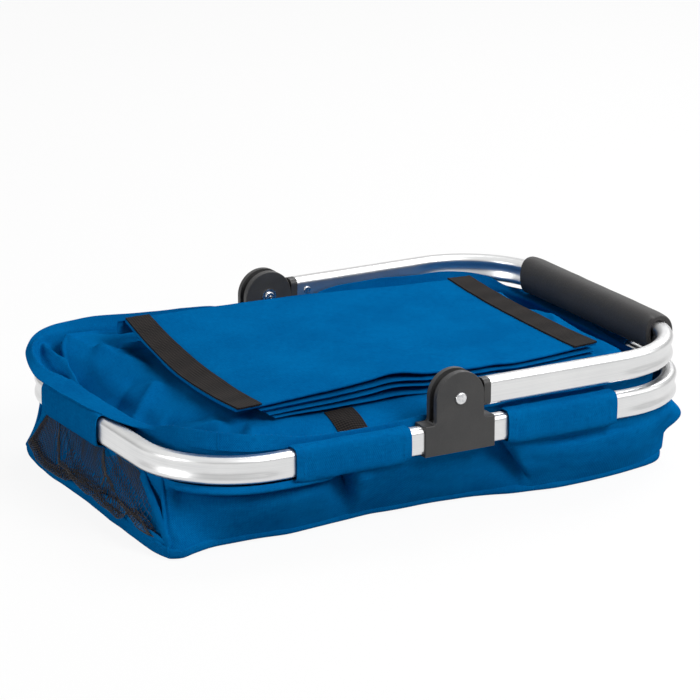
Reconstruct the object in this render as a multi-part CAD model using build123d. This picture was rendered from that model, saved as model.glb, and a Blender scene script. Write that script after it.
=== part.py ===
"""Folding shopping basket with a swinging carry handle, packed flat.

Two bent aluminium tubes meet inside two plastic brackets and make the rim. The brackets carry the
handle's pivots. A fabric bag hangs from the rim by sleeves and lies folded on its stiffened base.
A two-leaf insert with hook strips lies on top of the folded lining.

Millimetres, +X along the basket, +Y away from the front, +Z up. The origin is on the floor under the
middle of the rim.
"""

from build123d import *
import os
from math import atan2, degrees, radians, sin

# Rim and handle
RIM_LENGTH = 460.0
RIM_WIDTH = 316.0
RIM_BOTTOM = 52.5
BEND_RADIUS = 78.0
HANDLE_SETBACK = 4.0

# Tube section, dented on both faces where it is bent
TUBE_HEIGHT = 21.0
TUBE_WIDTH = 12.5
TUBE_WALL = 1.5
TUBE_EDGE = 4.5
DENT_DEPTH = 1.2
DENT_HEIGHT = 11.0

# Pivot bracket
BRACKET_HALF_LENGTH = 30.0
BRACKET_WALL = 1.5
BRACKET_EDGE = 0.7
SHOULDER_FILLET = 2.5
CHEEK_RADIUS = 20.5
TONGUE_THICKNESS = 5.5
TONGUE_BAR_HEIGHT = 15.0
TONGUE_FLOOR_GAP = 1.0
SLOT_CLEARANCE = 0.3

# Fasteners
PIVOT_RADIUS = 3.0
PIVOT_CLEARANCE = 0.06
RIVET_HEAD_LIP = 1.7
RIVET_HEAD_HEIGHT = 1.8
RIVET_FLARE_LIP = 1.0
RIVET_FLARE_HEIGHT = 1.4
RIVET_HOLLOW_RADIUS = 1.7
RIVET_HOLLOW_DEPTH = 5.0
WASHER_LIP = 3.2
WASHER_THICKNESS = 1.0
PLUG_RIVET_RADIUS = 1.6
PLUG_RIVET_LIP = 1.5
PLUG_RIVET_HEAD_HEIGHT = 1.0
PLUG_RIVET_INSET = 9.0
SCREW_RADIUS = 1.4
SCREW_HEAD_LIP = 1.4
SCREW_LENGTH = 8.0
SCREW_X = 18.0

# Plug and joiner inside the tubes
PLUG_CHEEK_GAP = 0.8
PLUG_COLLAR_LENGTH = 5.7
PLUG_SPIGOT_LENGTH = 35.0
JOINER_HALF_LENGTH = 45.0
SPIGOT_CLEARANCE = 0.15

# Grip, which clears the rim's sleeves when the handle lies down
GRIP_LENGTH = 194.0
GRIP_HEIGHT = 31.0
GRIP_WIDTH = 23.0
GRIP_FLAT = 1.0
GRIP_CLEARANCE = 0.2
GRIP_RIM_GAP = 2.8

# Fabric sleeves round the rim
SLEEVE_THICKNESS = 1.0
SLEEVE_CLEARANCE = 0.2
SLEEVE_BRACKET_GAP = 12.0
SLEEVE_BEND_GAP = 14.0
END_SLEEVE_LENGTH = 96.0
LEFT_SLEEVE_BEND_GAP = 2.0

# Collar inside the rim
COLLAR_THICKNESS = 2.0
COLLAR_DROP = 2.5
COLLAR_GRIP_GAP = 1.0
COLLAR_FAR_RISE = 17.5
COLLAR_RISE_GAP = 3.0
COLLAR_RISE_RUN = 22.0
COLLAR_NOTCH_MARGIN = 6.0
SOFT_GAP = 0.3

# Base, which is a little smaller than the rim and lies to its left and behind it
BASE_END_GAP = 15.0
BASE_SIDE_GAP = 22.0
BASE_X = -9.0
BASE_Y = 5.0
BASE_CORNER = 15.0
BASE_SHEET = 1.2
BASE_BOARD_THICKNESS = 2.0
BASE_BOARD_MARGIN = 5.0
BINDING_WIDTH = 1.8
BINDING_LIP = 2.6

# Folded side walls
WALL_THICKNESS = 2.0
WALL_BULGE = 6.0
WALL_BULGE_HEIGHT = 27.0

# Mesh pocket on the left end
NET_LENGTH = 212.0
NET_THICKNESS = 0.8
NET_PITCH = 5.6
NET_STRAND = 1.0
POCKET_BORDER = 5.0
POCKET_BORDER_THICKNESS = 1.4

# Insert lying on the folded lining
INSERT_END_GAP = 72.5
INSERT_SIDE_GAP = 58.0
INSERT_X = 3.0
INSERT_Y = 5.0
INSERT_TILT = 3.5
FOLD_RISE = 22.5
LEAF_SKIN = 0.8
LEAF_CORE = 2.6
LEAF_SEAM = 4.0
LEAF_GAP = 0.3
CORE_CLEARANCE = 0.1
STRIP_WIDTH = 20.0
STRIP_THICKNESS = 1.2
SPINE_TAPE = 0.8
SPINE_TAPE_DROP = 2.0
# Rise of the leaves above a flat insert, at shares of its length
LEAF_SHARES = (0.0, 0.17, 0.3, 0.43, 0.55, 0.75, 1.0)
FOLD_WAVE = (5.5, 4.8, 4.2, 3.4, 2.4, -0.6, -5.0)
UPPER_NEAR_WAVE = (0.0, 3.2, 6.0, 11.0, 5.8, 3.6, 6.7)
LOWER_NEAR_WAVE = (0.0, 1.0, 1.8, 2.6, 3.0, 3.4, 6.5)

# Folded lining under the insert
LINING_THICKNESS = 2.0
LINING_MARGIN = 6.0
LINING_TOP_CORNER = 20.0
SHOULDER_SHARE = 0.3
SHOULDER_RISE = 20.5
SHOULDER_ROLL = 2.3
PATCH_WIDTH = 23.0
PATCH_LENGTH = 28.0
PATCH_THICKNESS = 1.0
PATCH_DROP = 1.5
PATCH_X = -72.0

# Rim, pivot and handle places worked out from the sizes above
RIM_MIDDLE = RIM_BOTTOM + TUBE_HEIGHT / 2
RIM_TOP = RIM_BOTTOM + TUBE_HEIGHT
RIM_END_X = RIM_LENGTH / 2 - TUBE_WIDTH / 2
TUBE_LINE_Y = RIM_WIDTH / 2 - TUBE_WIDTH / 2
BEND_Y = RIM_WIDTH / 2 - BEND_RADIUS
HANDLE_REACH = RIM_LENGTH / 2 - HANDLE_SETBACK
SLEEVE_GROWTH = SLEEVE_CLEARANCE + SLEEVE_THICKNESS
PIVOT_RISE = SLEEVE_GROWTH + GRIP_RIM_GAP + GRIP_HEIGHT / 2
PIVOT_HEIGHT = RIM_TOP + PIVOT_RISE
BRACKET_DEPTH = TUBE_WIDTH + 2 * BRACKET_WALL
BRACKET_FACE = BRACKET_DEPTH / 2
TONGUE_RADIUS = PIVOT_RISE - BRACKET_WALL - TONGUE_FLOOR_GAP
SLOT_WIDTH = TONGUE_THICKNESS + 2 * SLOT_CLEARANCE
SLOT_FLOOR = PIVOT_HEIGHT - TONGUE_RADIUS - SLOT_CLEARANCE
PLUG_COLLAR_START = CHEEK_RADIUS + PLUG_CHEEK_GAP
PLUG_COLLAR_END = PLUG_COLLAR_START + PLUG_COLLAR_LENGTH

# Sleeve and collar places
SLEEVE_START = BRACKET_HALF_LENGTH + SLEEVE_BRACKET_GAP
SLEEVE_LENGTH = RIM_LENGTH / 2 - BEND_RADIUS - SLEEVE_BEND_GAP - SLEEVE_START
LEFT_SLEEVE_SHIFT = BEND_Y - LEFT_SLEEVE_BEND_GAP - END_SLEEVE_LENGTH / 2
COLLAR_GAP = max(SLEEVE_GROWTH, BRACKET_WALL) + SOFT_GAP
COLLAR_BOTTOM = RIM_BOTTOM - COLLAR_DROP
COLLAR_TOP = PIVOT_HEIGHT - GRIP_HEIGHT / 2 - COLLAR_GRIP_GAP
COLLAR_FAR_TOP = COLLAR_TOP + COLLAR_FAR_RISE
COLLAR_RISE_START = GRIP_LENGTH / 2 + COLLAR_RISE_GAP
COLLAR_RISE_END = COLLAR_RISE_START + COLLAR_RISE_RUN

# Base, wall and pocket places
BASE_LENGTH = RIM_LENGTH - 2 * BASE_END_GAP
BASE_WIDTH = RIM_WIDTH - 2 * BASE_SIDE_GAP
BINDING_HEIGHT = 2 * BASE_SHEET + BASE_BOARD_THICKNESS + BINDING_LIP
WALL_BOTTOM = BINDING_HEIGHT + SOFT_GAP
WALL_TOP = RIM_BOTTOM - SLEEVE_GROWTH - SOFT_GAP
WALL_TOP_CORNER = BEND_RADIUS - TUBE_WIDTH / 2
WALL_MIDDLE_HALF_LENGTH = RIM_LENGTH / 2 - TUBE_WIDTH + WALL_BULGE
WALL_MIDDLE_HALF_WIDTH = RIM_WIDTH / 2 - TUBE_WIDTH + WALL_BULGE
NET_HEIGHT = WALL_TOP - WALL_BOTTOM - 2 * POCKET_BORDER
POCKET_X = min(BASE_X - BASE_LENGTH / 2, -WALL_MIDDLE_HALF_LENGTH, -RIM_END_X) - SOFT_GAP
POCKET_Z = (WALL_TOP + WALL_BOTTOM) / 2

# Insert places, along the fold line's own frame
INSERT_LENGTH = RIM_LENGTH - 2 * INSERT_END_GAP
INSERT_WIDTH = RIM_WIDTH - 2 * INSERT_SIDE_GAP
FOLD_Y = INSERT_Y + INSERT_WIDTH / 2
FOLD_Z = RIM_TOP + FOLD_RISE
LEAF_THICKNESS = LEAF_CORE + 2 * LEAF_SKIN + 2 * CORE_CLEARANCE
UPPER_LEAF_BOTTOM = LEAF_GAP / 2
LOWER_LEAF_BOTTOM = -LEAF_GAP / 2 - LEAF_THICKNESS
LEAF_SAG = -min(FOLD_WAVE)
LINING_TILT = degrees(atan2(INSERT_WIDTH * sin(radians(INSERT_TILT)) - LEAF_SAG, INSERT_WIDTH))

NEAR = -1
FAR = 1


def tube_section(grow=0.0, dent=0.0):
    """Tube outline, offset by grow. Local X is across the tube and local Y is its height."""
    outline = RectangleRounded(TUBE_WIDTH + 2 * grow, TUBE_HEIGHT + 2 * grow, TUBE_EDGE + grow)
    if dent:
        groove_radius = DENT_HEIGHT**2 / (8 * dent) + dent / 2
        groove_centre = TUBE_WIDTH / 2 - dent + groove_radius
        for side in (-1, 1):
            outline -= Pos(side * groove_centre, 0) * Circle(groove_radius - grow)
    return outline


def tube_ring(dent=0.0):
    return tube_section(0.0, dent) - tube_section(-TUBE_WALL, dent)


def along_x(x, y, z):
    """Plane for a section that is extruded along +X."""
    return Plane(origin=(x, y, z), x_dir=(0, 1, 0), z_dir=(1, 0, 0))


def along_y(x, y, z):
    """Plane for a section that is extruded along +Y."""
    return Plane(origin=(x, y, z), x_dir=(-1, 0, 0), z_dir=(0, 1, 0))


def outline_face(half_length, half_width, corner, z):
    """Rounded rectangle at height z."""
    return Pos(0, 0, z) * RectangleRounded(2 * half_length, 2 * half_width, corner)


def other_side(shape):
    """The same piece on the far side of the basket."""
    return mirror(shape, about=Plane.XZ)


def u_tube(reach, leg_start, height):
    """Hollow tube bent to a U that opens towards -X."""
    bend_x = reach - BEND_RADIUS
    end_x = reach - TUBE_WIDTH / 2
    leg = extrude(along_x(leg_start, -TUBE_LINE_Y, height) * tube_ring(), bend_x - leg_start)
    bend = revolve(
        along_x(bend_x, -TUBE_LINE_Y, height) * tube_ring(DENT_DEPTH),
        axis=Axis((bend_x, -BEND_Y, 0), (0, 0, 1)),
        revolution_arc=90,
    )
    cross = extrude(along_y(end_x, -BEND_Y, height) * tube_ring(), 2 * BEND_Y)
    return leg + bend + cross + other_side(bend) + other_side(leg)


def round_bar(radius, start, end):
    """Cylinder along +Y between two stations of Y, on the pivot axis."""
    axis_plane = Plane(origin=(0, start, PIVOT_HEIGHT), x_dir=(1, 0, 0), z_dir=(0, 1, 0))
    return extrude(axis_plane * Circle(radius), end - start)


def rim_tubes():
    right = u_tube(RIM_LENGTH / 2, 0.0, RIM_MIDDLE)
    for x in (-SCREW_X, SCREW_X):
        for side in (NEAR, FAR):
            right -= screw(x, side, SPIGOT_CLEARANCE)
    return mirror(right, about=Plane.YZ), right


def screw(x, side, grow=0.0):
    """Countersunk screw driven outwards from the inside face of a bracket."""
    face_y = side * (TUBE_LINE_Y - BRACKET_FACE)
    plane = Plane(origin=(x, face_y, RIM_MIDDLE), x_dir=(1, 0, 0), z_dir=(0, side, 0))
    head_depth = SCREW_HEAD_LIP
    shank = extrude(plane * Circle(SCREW_RADIUS + grow), SCREW_LENGTH + grow)
    head = loft(
        [
            plane * Circle(SCREW_RADIUS + SCREW_HEAD_LIP + grow),
            plane.offset(head_depth) * Circle(SCREW_RADIUS + grow),
        ]
    )
    return shank + head


def bracket():
    """Near bracket: a sleeve over the rim joint with two cheeks for the handle's pivot."""
    base_low = RIM_BOTTOM - BRACKET_WALL
    base_high = RIM_TOP + BRACKET_WALL
    front = Plane(origin=(0, -TUBE_LINE_Y - BRACKET_FACE, 0), x_dir=(1, 0, 0), z_dir=(0, -1, 0))
    base = Pos(0, (base_low + base_high) / 2) * Rectangle(2 * BRACKET_HALF_LENGTH, base_high - base_low)
    neck_low = base_high - BRACKET_WALL
    neck = Pos(0, (neck_low + PIVOT_HEIGHT) / 2) * Rectangle(2 * CHEEK_RADIUS, PIVOT_HEIGHT - neck_low)
    profile = base + neck + Pos(0, PIVOT_HEIGHT) * Circle(CHEEK_RADIUS)
    inner_corners = [
        v for v in profile.vertices() if abs(v.Y - base_high) < 0.01 and abs(v.X) < CHEEK_RADIUS + 0.01
    ]
    profile = fillet(inner_corners, SHOULDER_FILLET)
    body = extrude(front * profile, -BRACKET_DEPTH)
    body = fillet(body.faces().sort_by(Axis.Y)[0].edges(), BRACKET_EDGE)
    body = fillet(body.faces().sort_by(Axis.Y)[-1].edges(), BRACKET_EDGE)
    slot_high = PIVOT_HEIGHT + CHEEK_RADIUS + BRACKET_WALL
    slot = Pos(0, -TUBE_LINE_Y, (SLOT_FLOOR + slot_high) / 2) * Box(
        4 * CHEEK_RADIUS, SLOT_WIDTH, slot_high - SLOT_FLOOR
    )
    tube_way = extrude(
        along_x(-2 * BRACKET_HALF_LENGTH, -TUBE_LINE_Y, RIM_MIDDLE) * tube_section(SPIGOT_CLEARANCE),
        4 * BRACKET_HALF_LENGTH,
    )
    body = body - slot - tube_way
    body -= round_bar(PIVOT_RADIUS + PIVOT_CLEARANCE, -RIM_WIDTH, 0)
    for x in (-SCREW_X, SCREW_X):
        body -= screw(x, NEAR, SPIGOT_CLEARANCE)
    return body


def joiner():
    """Near spigot inside the two rim tubes, behind the bracket."""
    body = extrude(
        along_x(-JOINER_HALF_LENGTH, -TUBE_LINE_Y, RIM_MIDDLE) * tube_section(-TUBE_WALL - SPIGOT_CLEARANCE),
        2 * JOINER_HALF_LENGTH,
    )
    for x in (-SCREW_X, SCREW_X):
        body -= screw(x, NEAR, SPIGOT_CLEARANCE)
    return body


def pivot_rivet():
    """Near pivot: domed head outside, hollow flared end inside."""
    outside = -TUBE_LINE_Y - BRACKET_FACE
    inside = -TUBE_LINE_Y + BRACKET_FACE + WASHER_THICKNESS
    shaft = round_bar(PIVOT_RADIUS, outside, inside)
    head = round_bar(PIVOT_RADIUS + RIVET_HEAD_LIP, outside - RIVET_HEAD_HEIGHT, outside)
    head = fillet(head.faces().sort_by(Axis.Y)[0].edges(), RIVET_HEAD_HEIGHT * 0.8)
    flare = round_bar(PIVOT_RADIUS + RIVET_FLARE_LIP, inside, inside + RIVET_FLARE_HEIGHT)
    flare = fillet(flare.faces().sort_by(Axis.Y)[-1].edges(), RIVET_FLARE_HEIGHT * 0.5)
    flare_end = inside + RIVET_FLARE_HEIGHT
    hollow = round_bar(RIVET_HOLLOW_RADIUS, flare_end - RIVET_HOLLOW_DEPTH, flare_end)
    return shaft + head + flare - hollow


def washer():
    inside = -TUBE_LINE_Y + BRACKET_FACE
    return round_bar(PIVOT_RADIUS + WASHER_LIP, inside, inside + WASHER_THICKNESS) - round_bar(
        PIVOT_RADIUS + PIVOT_CLEARANCE, inside, inside + WASHER_THICKNESS
    )


def handle_plug():
    """Near plug: tongue between the cheeks, collar against the tube, spigot inside it."""
    tongue_start = -TUBE_LINE_Y - TONGUE_THICKNESS / 2
    disc = round_bar(TONGUE_RADIUS, tongue_start, tongue_start + TONGUE_THICKNESS)
    bar_length = PLUG_COLLAR_START + TONGUE_THICKNESS / 2
    bar = Pos(bar_length / 2, -TUBE_LINE_Y, PIVOT_HEIGHT) * Box(
        bar_length, TONGUE_THICKNESS, TONGUE_BAR_HEIGHT
    )
    collar = extrude(
        along_x(PLUG_COLLAR_START, -TUBE_LINE_Y, PIVOT_HEIGHT) * tube_section(),
        PLUG_COLLAR_LENGTH,
    )
    spigot = extrude(
        along_x(PLUG_COLLAR_END, -TUBE_LINE_Y, PIVOT_HEIGHT) * tube_section(-TUBE_WALL - SPIGOT_CLEARANCE),
        PLUG_SPIGOT_LENGTH,
    )
    body = disc + bar + collar + spigot - round_bar(PIVOT_RADIUS + PIVOT_CLEARANCE, -RIM_WIDTH, 0)
    return body - plug_rivet(SPIGOT_CLEARANCE)


def plug_rivet(grow=0.0):
    """Near blind rivet through the inside face of the handle tube into its plug."""
    face = -TUBE_LINE_Y + TUBE_WIDTH / 2
    x = PLUG_COLLAR_END + PLUG_RIVET_INSET
    plane = Plane(origin=(x, face, PIVOT_HEIGHT), x_dir=(1, 0, 0), z_dir=(0, -1, 0))
    shank = extrude(plane * Circle(PLUG_RIVET_RADIUS + grow), TUBE_WIDTH / 2)
    head = extrude(plane * Circle(PLUG_RIVET_RADIUS + PLUG_RIVET_LIP), -PLUG_RIVET_HEAD_HEIGHT)
    head = fillet(head.faces().sort_by(Axis.Y)[-1].edges(), PLUG_RIVET_HEAD_HEIGHT * 0.7)
    return shank + head


def handle_tube():
    tube = u_tube(HANDLE_REACH, PLUG_COLLAR_END, PIVOT_HEIGHT)
    hole = plug_rivet(SPIGOT_CLEARANCE)
    return tube - hole - other_side(hole)


def grip():
    """Foam round the cross run, a little way into both bends."""
    end_x = HANDLE_REACH - TUBE_WIDTH / 2
    bend_x = HANDLE_REACH - BEND_RADIUS
    outside = RectangleRounded(GRIP_WIDTH, GRIP_HEIGHT, (GRIP_WIDTH - GRIP_FLAT) / 2)
    section = outside - tube_section(GRIP_CLEARANCE)
    straight = min(GRIP_LENGTH, 2 * BEND_Y)
    body = extrude(along_y(end_x, -straight / 2, PIVOT_HEIGHT) * section, straight)
    wrap = (GRIP_LENGTH - straight) / 2
    if wrap > 0:
        end = revolve(
            along_y(end_x, BEND_Y, PIVOT_HEIGHT) * section,
            axis=Axis((bend_x, BEND_Y, 0), (0, 0, 1)),
            revolution_arc=degrees(wrap / (BEND_RADIUS - TUBE_WIDTH / 2)),
        )
        body = body + end + other_side(end)
    return body


def sleeve_ring():
    return tube_section(SLEEVE_GROWTH) - tube_section(SLEEVE_CLEARANCE)


def side_sleeve(direction):
    """Near sleeve, left (-1) or right (1) of the bracket."""
    start = SLEEVE_START if direction > 0 else -SLEEVE_START - SLEEVE_LENGTH
    return extrude(along_x(start, -TUBE_LINE_Y, RIM_MIDDLE) * sleeve_ring(), SLEEVE_LENGTH)


def end_sleeve(direction, shift):
    start = shift - END_SLEEVE_LENGTH / 2
    return extrude(along_y(direction * RIM_END_X, start, RIM_MIDDLE) * sleeve_ring(), END_SLEEVE_LENGTH)


def collar_outline(inset):
    """Outline inside the swinging handle, so the handle can lie to either side of the collar."""
    gap = TUBE_WIDTH + COLLAR_GAP + inset
    return HANDLE_REACH - gap, RIM_WIDTH / 2 - gap, BEND_RADIUS - gap


def collar():
    """Hem that stands inside the rim, low at the front and ends and high along the far side."""
    ring = outline_face(*collar_outline(0.0), COLLAR_BOTTOM) - outline_face(
        *collar_outline(COLLAR_THICKNESS), COLLAR_BOTTOM
    )
    band = extrude(ring, COLLAR_FAR_TOP - COLLAR_BOTTOM)
    profile = make_face(
        Polyline(
            (-RIM_WIDTH, 0),
            (RIM_WIDTH, 0),
            (RIM_WIDTH, COLLAR_FAR_TOP),
            (COLLAR_RISE_END, COLLAR_FAR_TOP),
            (COLLAR_RISE_START, COLLAR_TOP),
            (-RIM_WIDTH, COLLAR_TOP),
            close=True,
        )
    )
    kept = extrude(along_x(-RIM_LENGTH, 0, 0) * profile, 2 * RIM_LENGTH)
    notch = Pos(0, RIM_WIDTH / 2, COLLAR_TOP + RIM_WIDTH / 2) * Box(
        2 * (BRACKET_HALF_LENGTH + COLLAR_NOTCH_MARGIN), RIM_WIDTH, RIM_WIDTH
    )
    return (band & kept) - notch


def base_outline(inset, z):
    half_length = BASE_LENGTH / 2 - inset
    half_width = BASE_WIDTH / 2 - inset
    return Pos(BASE_X, BASE_Y) * outline_face(half_length, half_width, BASE_CORNER - inset, z)


def base_plate(inset, bottom, thickness):
    return extrude(base_outline(inset, bottom), thickness)


def base_binding():
    """Bound seam round the edge of the base."""
    return base_plate(-BINDING_WIDTH, 0.0, BINDING_HEIGHT) - base_plate(0.0, 0.0, BINDING_HEIGHT)


def wall_body(inset):
    """Space inside the folded walls, from the base seam up to the sleeves."""
    middle = outline_face(
        WALL_MIDDLE_HALF_LENGTH - inset,
        WALL_MIDDLE_HALF_WIDTH - inset,
        (BASE_CORNER + WALL_TOP_CORNER) / 2 - inset,
        WALL_BULGE_HEIGHT,
    )
    high = outline_face(RIM_END_X - inset, TUBE_LINE_Y - inset, WALL_TOP_CORNER - inset, WALL_TOP)
    return loft([base_outline(inset, WALL_BOTTOM), middle, high], ruled=True)


def wall_panels():
    """The walls cut at their four corner seams, as (near, far, left, right)."""
    shell = wall_body(0.0) - wall_body(WALL_THICKNESS)
    left = BASE_X - BASE_LENGTH / 2 + BASE_CORNER
    right = BASE_X + BASE_LENGTH / 2 - BASE_CORNER
    near = BASE_Y - BASE_WIDTH / 2 + BASE_CORNER
    far = BASE_Y + BASE_WIDTH / 2 - BASE_CORNER
    reach = RIM_LENGTH
    corners = {
        "near_left": ((left, near), (left - reach, near - reach)),
        "near_right": ((right, near), (right + reach, near - reach)),
        "far_right": ((right, far), (right + reach, far + reach)),
        "far_left": ((left, far), (left - reach, far + reach)),
    }

    def panel(first, second):
        start, start_out = corners[first]
        end, end_out = corners[second]
        wedge = make_face(Polyline(start, start_out, end_out, end, close=True))
        return shell & extrude(wedge, RIM_TOP)

    return (
        panel("near_left", "near_right"),
        panel("far_left", "far_right"),
        panel("near_left", "far_left"),
        panel("near_right", "far_right"),
    )


def mesh_pocket():
    """Net with diamond gaps on the left end, and the bound border round it."""
    plane = Plane(origin=(POCKET_X, 0, POCKET_Z), x_dir=(0, -1, 0), z_dir=(-1, 0, 0))
    columns = int(NET_LENGTH / NET_PITCH)
    rows = int(NET_HEIGHT / NET_PITCH)
    gap_side = (NET_PITCH - NET_STRAND) / 2**0.5
    gaps = Sketch() + [
        Pos((i - (columns - 1) / 2) * NET_PITCH, (j - (rows - 1) / 2) * NET_PITCH)
        * Rot(0, 0, 45)
        * Rectangle(gap_side, gap_side)
        for i in range(columns)
        for j in range(rows)
    ]
    net = Rectangle(NET_LENGTH, NET_HEIGHT) - gaps
    outside = Rectangle(NET_LENGTH + 2 * POCKET_BORDER, NET_HEIGHT + 2 * POCKET_BORDER)
    inside = Rectangle(NET_LENGTH + 2 * CORE_CLEARANCE, NET_HEIGHT + 2 * CORE_CLEARANCE)
    border = outside - inside
    return extrude(plane * net, NET_THICKNESS), extrude(plane * border, POCKET_BORDER_THICKNESS)


def leaf_frame():
    """Frame of the insert's fold line: the leaves lie towards its -Y, above and below its XY plane."""
    return Plane(origin=(INSERT_X, FOLD_Y, FOLD_Z)).rotated((INSERT_TILT, 0, 0))


def leaf_wave(y, near_wave, height):
    """Line across the insert at a distance y from its fold, as high as the bent leaf is there."""
    share = -y / INSERT_WIDTH
    points = [
        (INSERT_LENGTH * (place - 0.5), fold + (near - fold) * share + height)
        for place, fold, near in zip(LEAF_SHARES, FOLD_WAVE, near_wave)
    ]
    return Edge.make_spline(points, parameters=LEAF_SHARES)


def leaf_slab(near_wave, bottom, thickness):
    """Bent sheet between two heights, in the insert's own frame, a little wider than the leaf."""
    sections = []
    for y in (LEAF_SEAM, -INSERT_WIDTH):
        low = leaf_wave(y, near_wave, bottom)
        high = leaf_wave(y, near_wave, bottom + thickness)
        outline = [low, high, Edge.make_line(low @ 0, high @ 0), Edge.make_line(low @ 1, high @ 1)]
        sections.append(Plane(origin=(0, y, 0), x_dir=(1, 0, 0), z_dir=(0, -1, 0)) * make_face(outline))
    return loft(sections, ruled=True)


def leaf_cut(length, start, end, near_wave, bottom, thickness, shift=0.0):
    """Part of a bent sheet, from start to end in front of the fold line."""
    room = Pos(shift, -(start + end) / 2) * Box(length, end - start, INSERT_WIDTH)
    return leaf_frame() * (leaf_slab(near_wave, bottom, thickness) & room)


def leaf_cover(near_wave, bottom):
    """Fabric pocket of a leaf, open at the fold, where its board slides in."""
    outside = leaf_cut(INSERT_LENGTH, 0.0, INSERT_WIDTH, near_wave, bottom, LEAF_THICKNESS)
    hollow = leaf_cut(
        INSERT_LENGTH - 2 * LEAF_SEAM,
        -LEAF_SEAM / 2,
        INSERT_WIDTH - LEAF_SEAM,
        near_wave,
        bottom + LEAF_SKIN,
        LEAF_THICKNESS - 2 * LEAF_SKIN,
    )
    return outside - hollow


def leaf_board(near_wave, bottom):
    return leaf_cut(
        INSERT_LENGTH - 2 * LEAF_SEAM - 2 * CORE_CLEARANCE,
        CORE_CLEARANCE,
        INSERT_WIDTH - LEAF_SEAM - CORE_CLEARANCE,
        near_wave,
        bottom + LEAF_SKIN + CORE_CLEARANCE,
        LEAF_CORE,
    )


def hook_strip(direction):
    return leaf_cut(
        STRIP_WIDTH,
        0.0,
        INSERT_WIDTH,
        UPPER_NEAR_WAVE,
        UPPER_LEAF_BOTTOM + LEAF_THICKNESS + SOFT_GAP,
        STRIP_THICKNESS,
        direction * (INSERT_LENGTH - STRIP_WIDTH) / 2,
    )


def spine_tape():
    """Tape sewn along the fold, behind the lower leaf."""
    start = -SPINE_TAPE - CORE_CLEARANCE
    height = LEAF_THICKNESS - SPINE_TAPE_DROP
    return leaf_cut(INSERT_LENGTH, start, -CORE_CLEARANCE, LOWER_NEAR_WAVE, LOWER_LEAF_BOTTOM, height)


def lining_sections(inset, below):
    """Half length, half width, corner and plane of the lining at the collar, the shoulder and the top."""
    low = collar_outline(COLLAR_THICKNESS + SOFT_GAP + inset)
    margin = LINING_MARGIN - inset
    top = (INSERT_LENGTH / 2 + margin, INSERT_WIDTH / 2 + margin, LINING_TOP_CORNER)
    shoulder = tuple(a + (b - a) * SHOULDER_SHARE for a, b in zip(low, top))
    shoulder_height = COLLAR_BOTTOM + SHOULDER_RISE - below
    fold = Plane(origin=(INSERT_X, FOLD_Y, FOLD_Z + LOWER_LEAF_BOTTOM - LEAF_SAG - below))
    top_plane = fold.rotated((LINING_TILT, 0, 0))
    top_middle = top_plane.from_local_coords((0, -INSERT_WIDTH / 2, 0))
    return [
        (low, Plane(origin=(0, 0, COLLAR_BOTTOM))),
        (shoulder, Plane(origin=(0, 0, shoulder_height)).rotated((0, -SHOULDER_ROLL, 0))),
        (top, Plane(origin=top_middle, x_dir=top_plane.x_dir, z_dir=top_plane.z_dir)),
    ]


def lining_solid(inset, below):
    """Space under the insert, from the collar over a shoulder up to a distance below the lower leaf."""
    faces = [plane * outline_face(*size, 0.0) for size, plane in lining_sections(inset, below)]
    return loft(faces, ruled=True)


def lining_fold():
    """Folded lining: sloping sides that rise from the collar to a top under the insert."""
    return lining_solid(0.0, SOFT_GAP) - lining_solid(LINING_THICKNESS, SOFT_GAP + LINING_THICKNESS)


def loop_patch(side):
    """Loop strip on the sloping side of the lining that takes a hook strip of the insert."""
    (_, _), (shoulder, shoulder_plane), (top, top_plane) = lining_sections(0.0, SOFT_GAP)

    def on_edge(size, plane, x):
        share = x / (top[0] - top[2])
        return plane.from_local_coords(Vector(share * (size[0] - size[2]), side * size[1], 0))

    low, high = (on_edge(size, plane, PATCH_X) for size, plane in ((shoulder, shoulder_plane), (top, top_plane)))
    middle = high + (low - high).normalized() * (PATCH_DROP + PATCH_LENGTH / 2)
    rows = [
        (on_edge(shoulder, shoulder_plane, x) + on_edge(top, top_plane, x)) * 0.5
        for x in (PATCH_X - PATCH_WIDTH / 2, PATCH_X + PATCH_WIDTH / 2)
    ]
    across = (rows[1] - rows[0]).normalized()
    facing = across.cross((high - low).normalized()) * -side
    slope = Plane(origin=middle, x_dir=across, z_dir=facing)
    return slope * Pos(0, 0, SOFT_GAP + PATCH_THICKNESS / 2) * Box(PATCH_WIDTH, PATCH_LENGTH, PATCH_THICKNESS)


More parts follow.
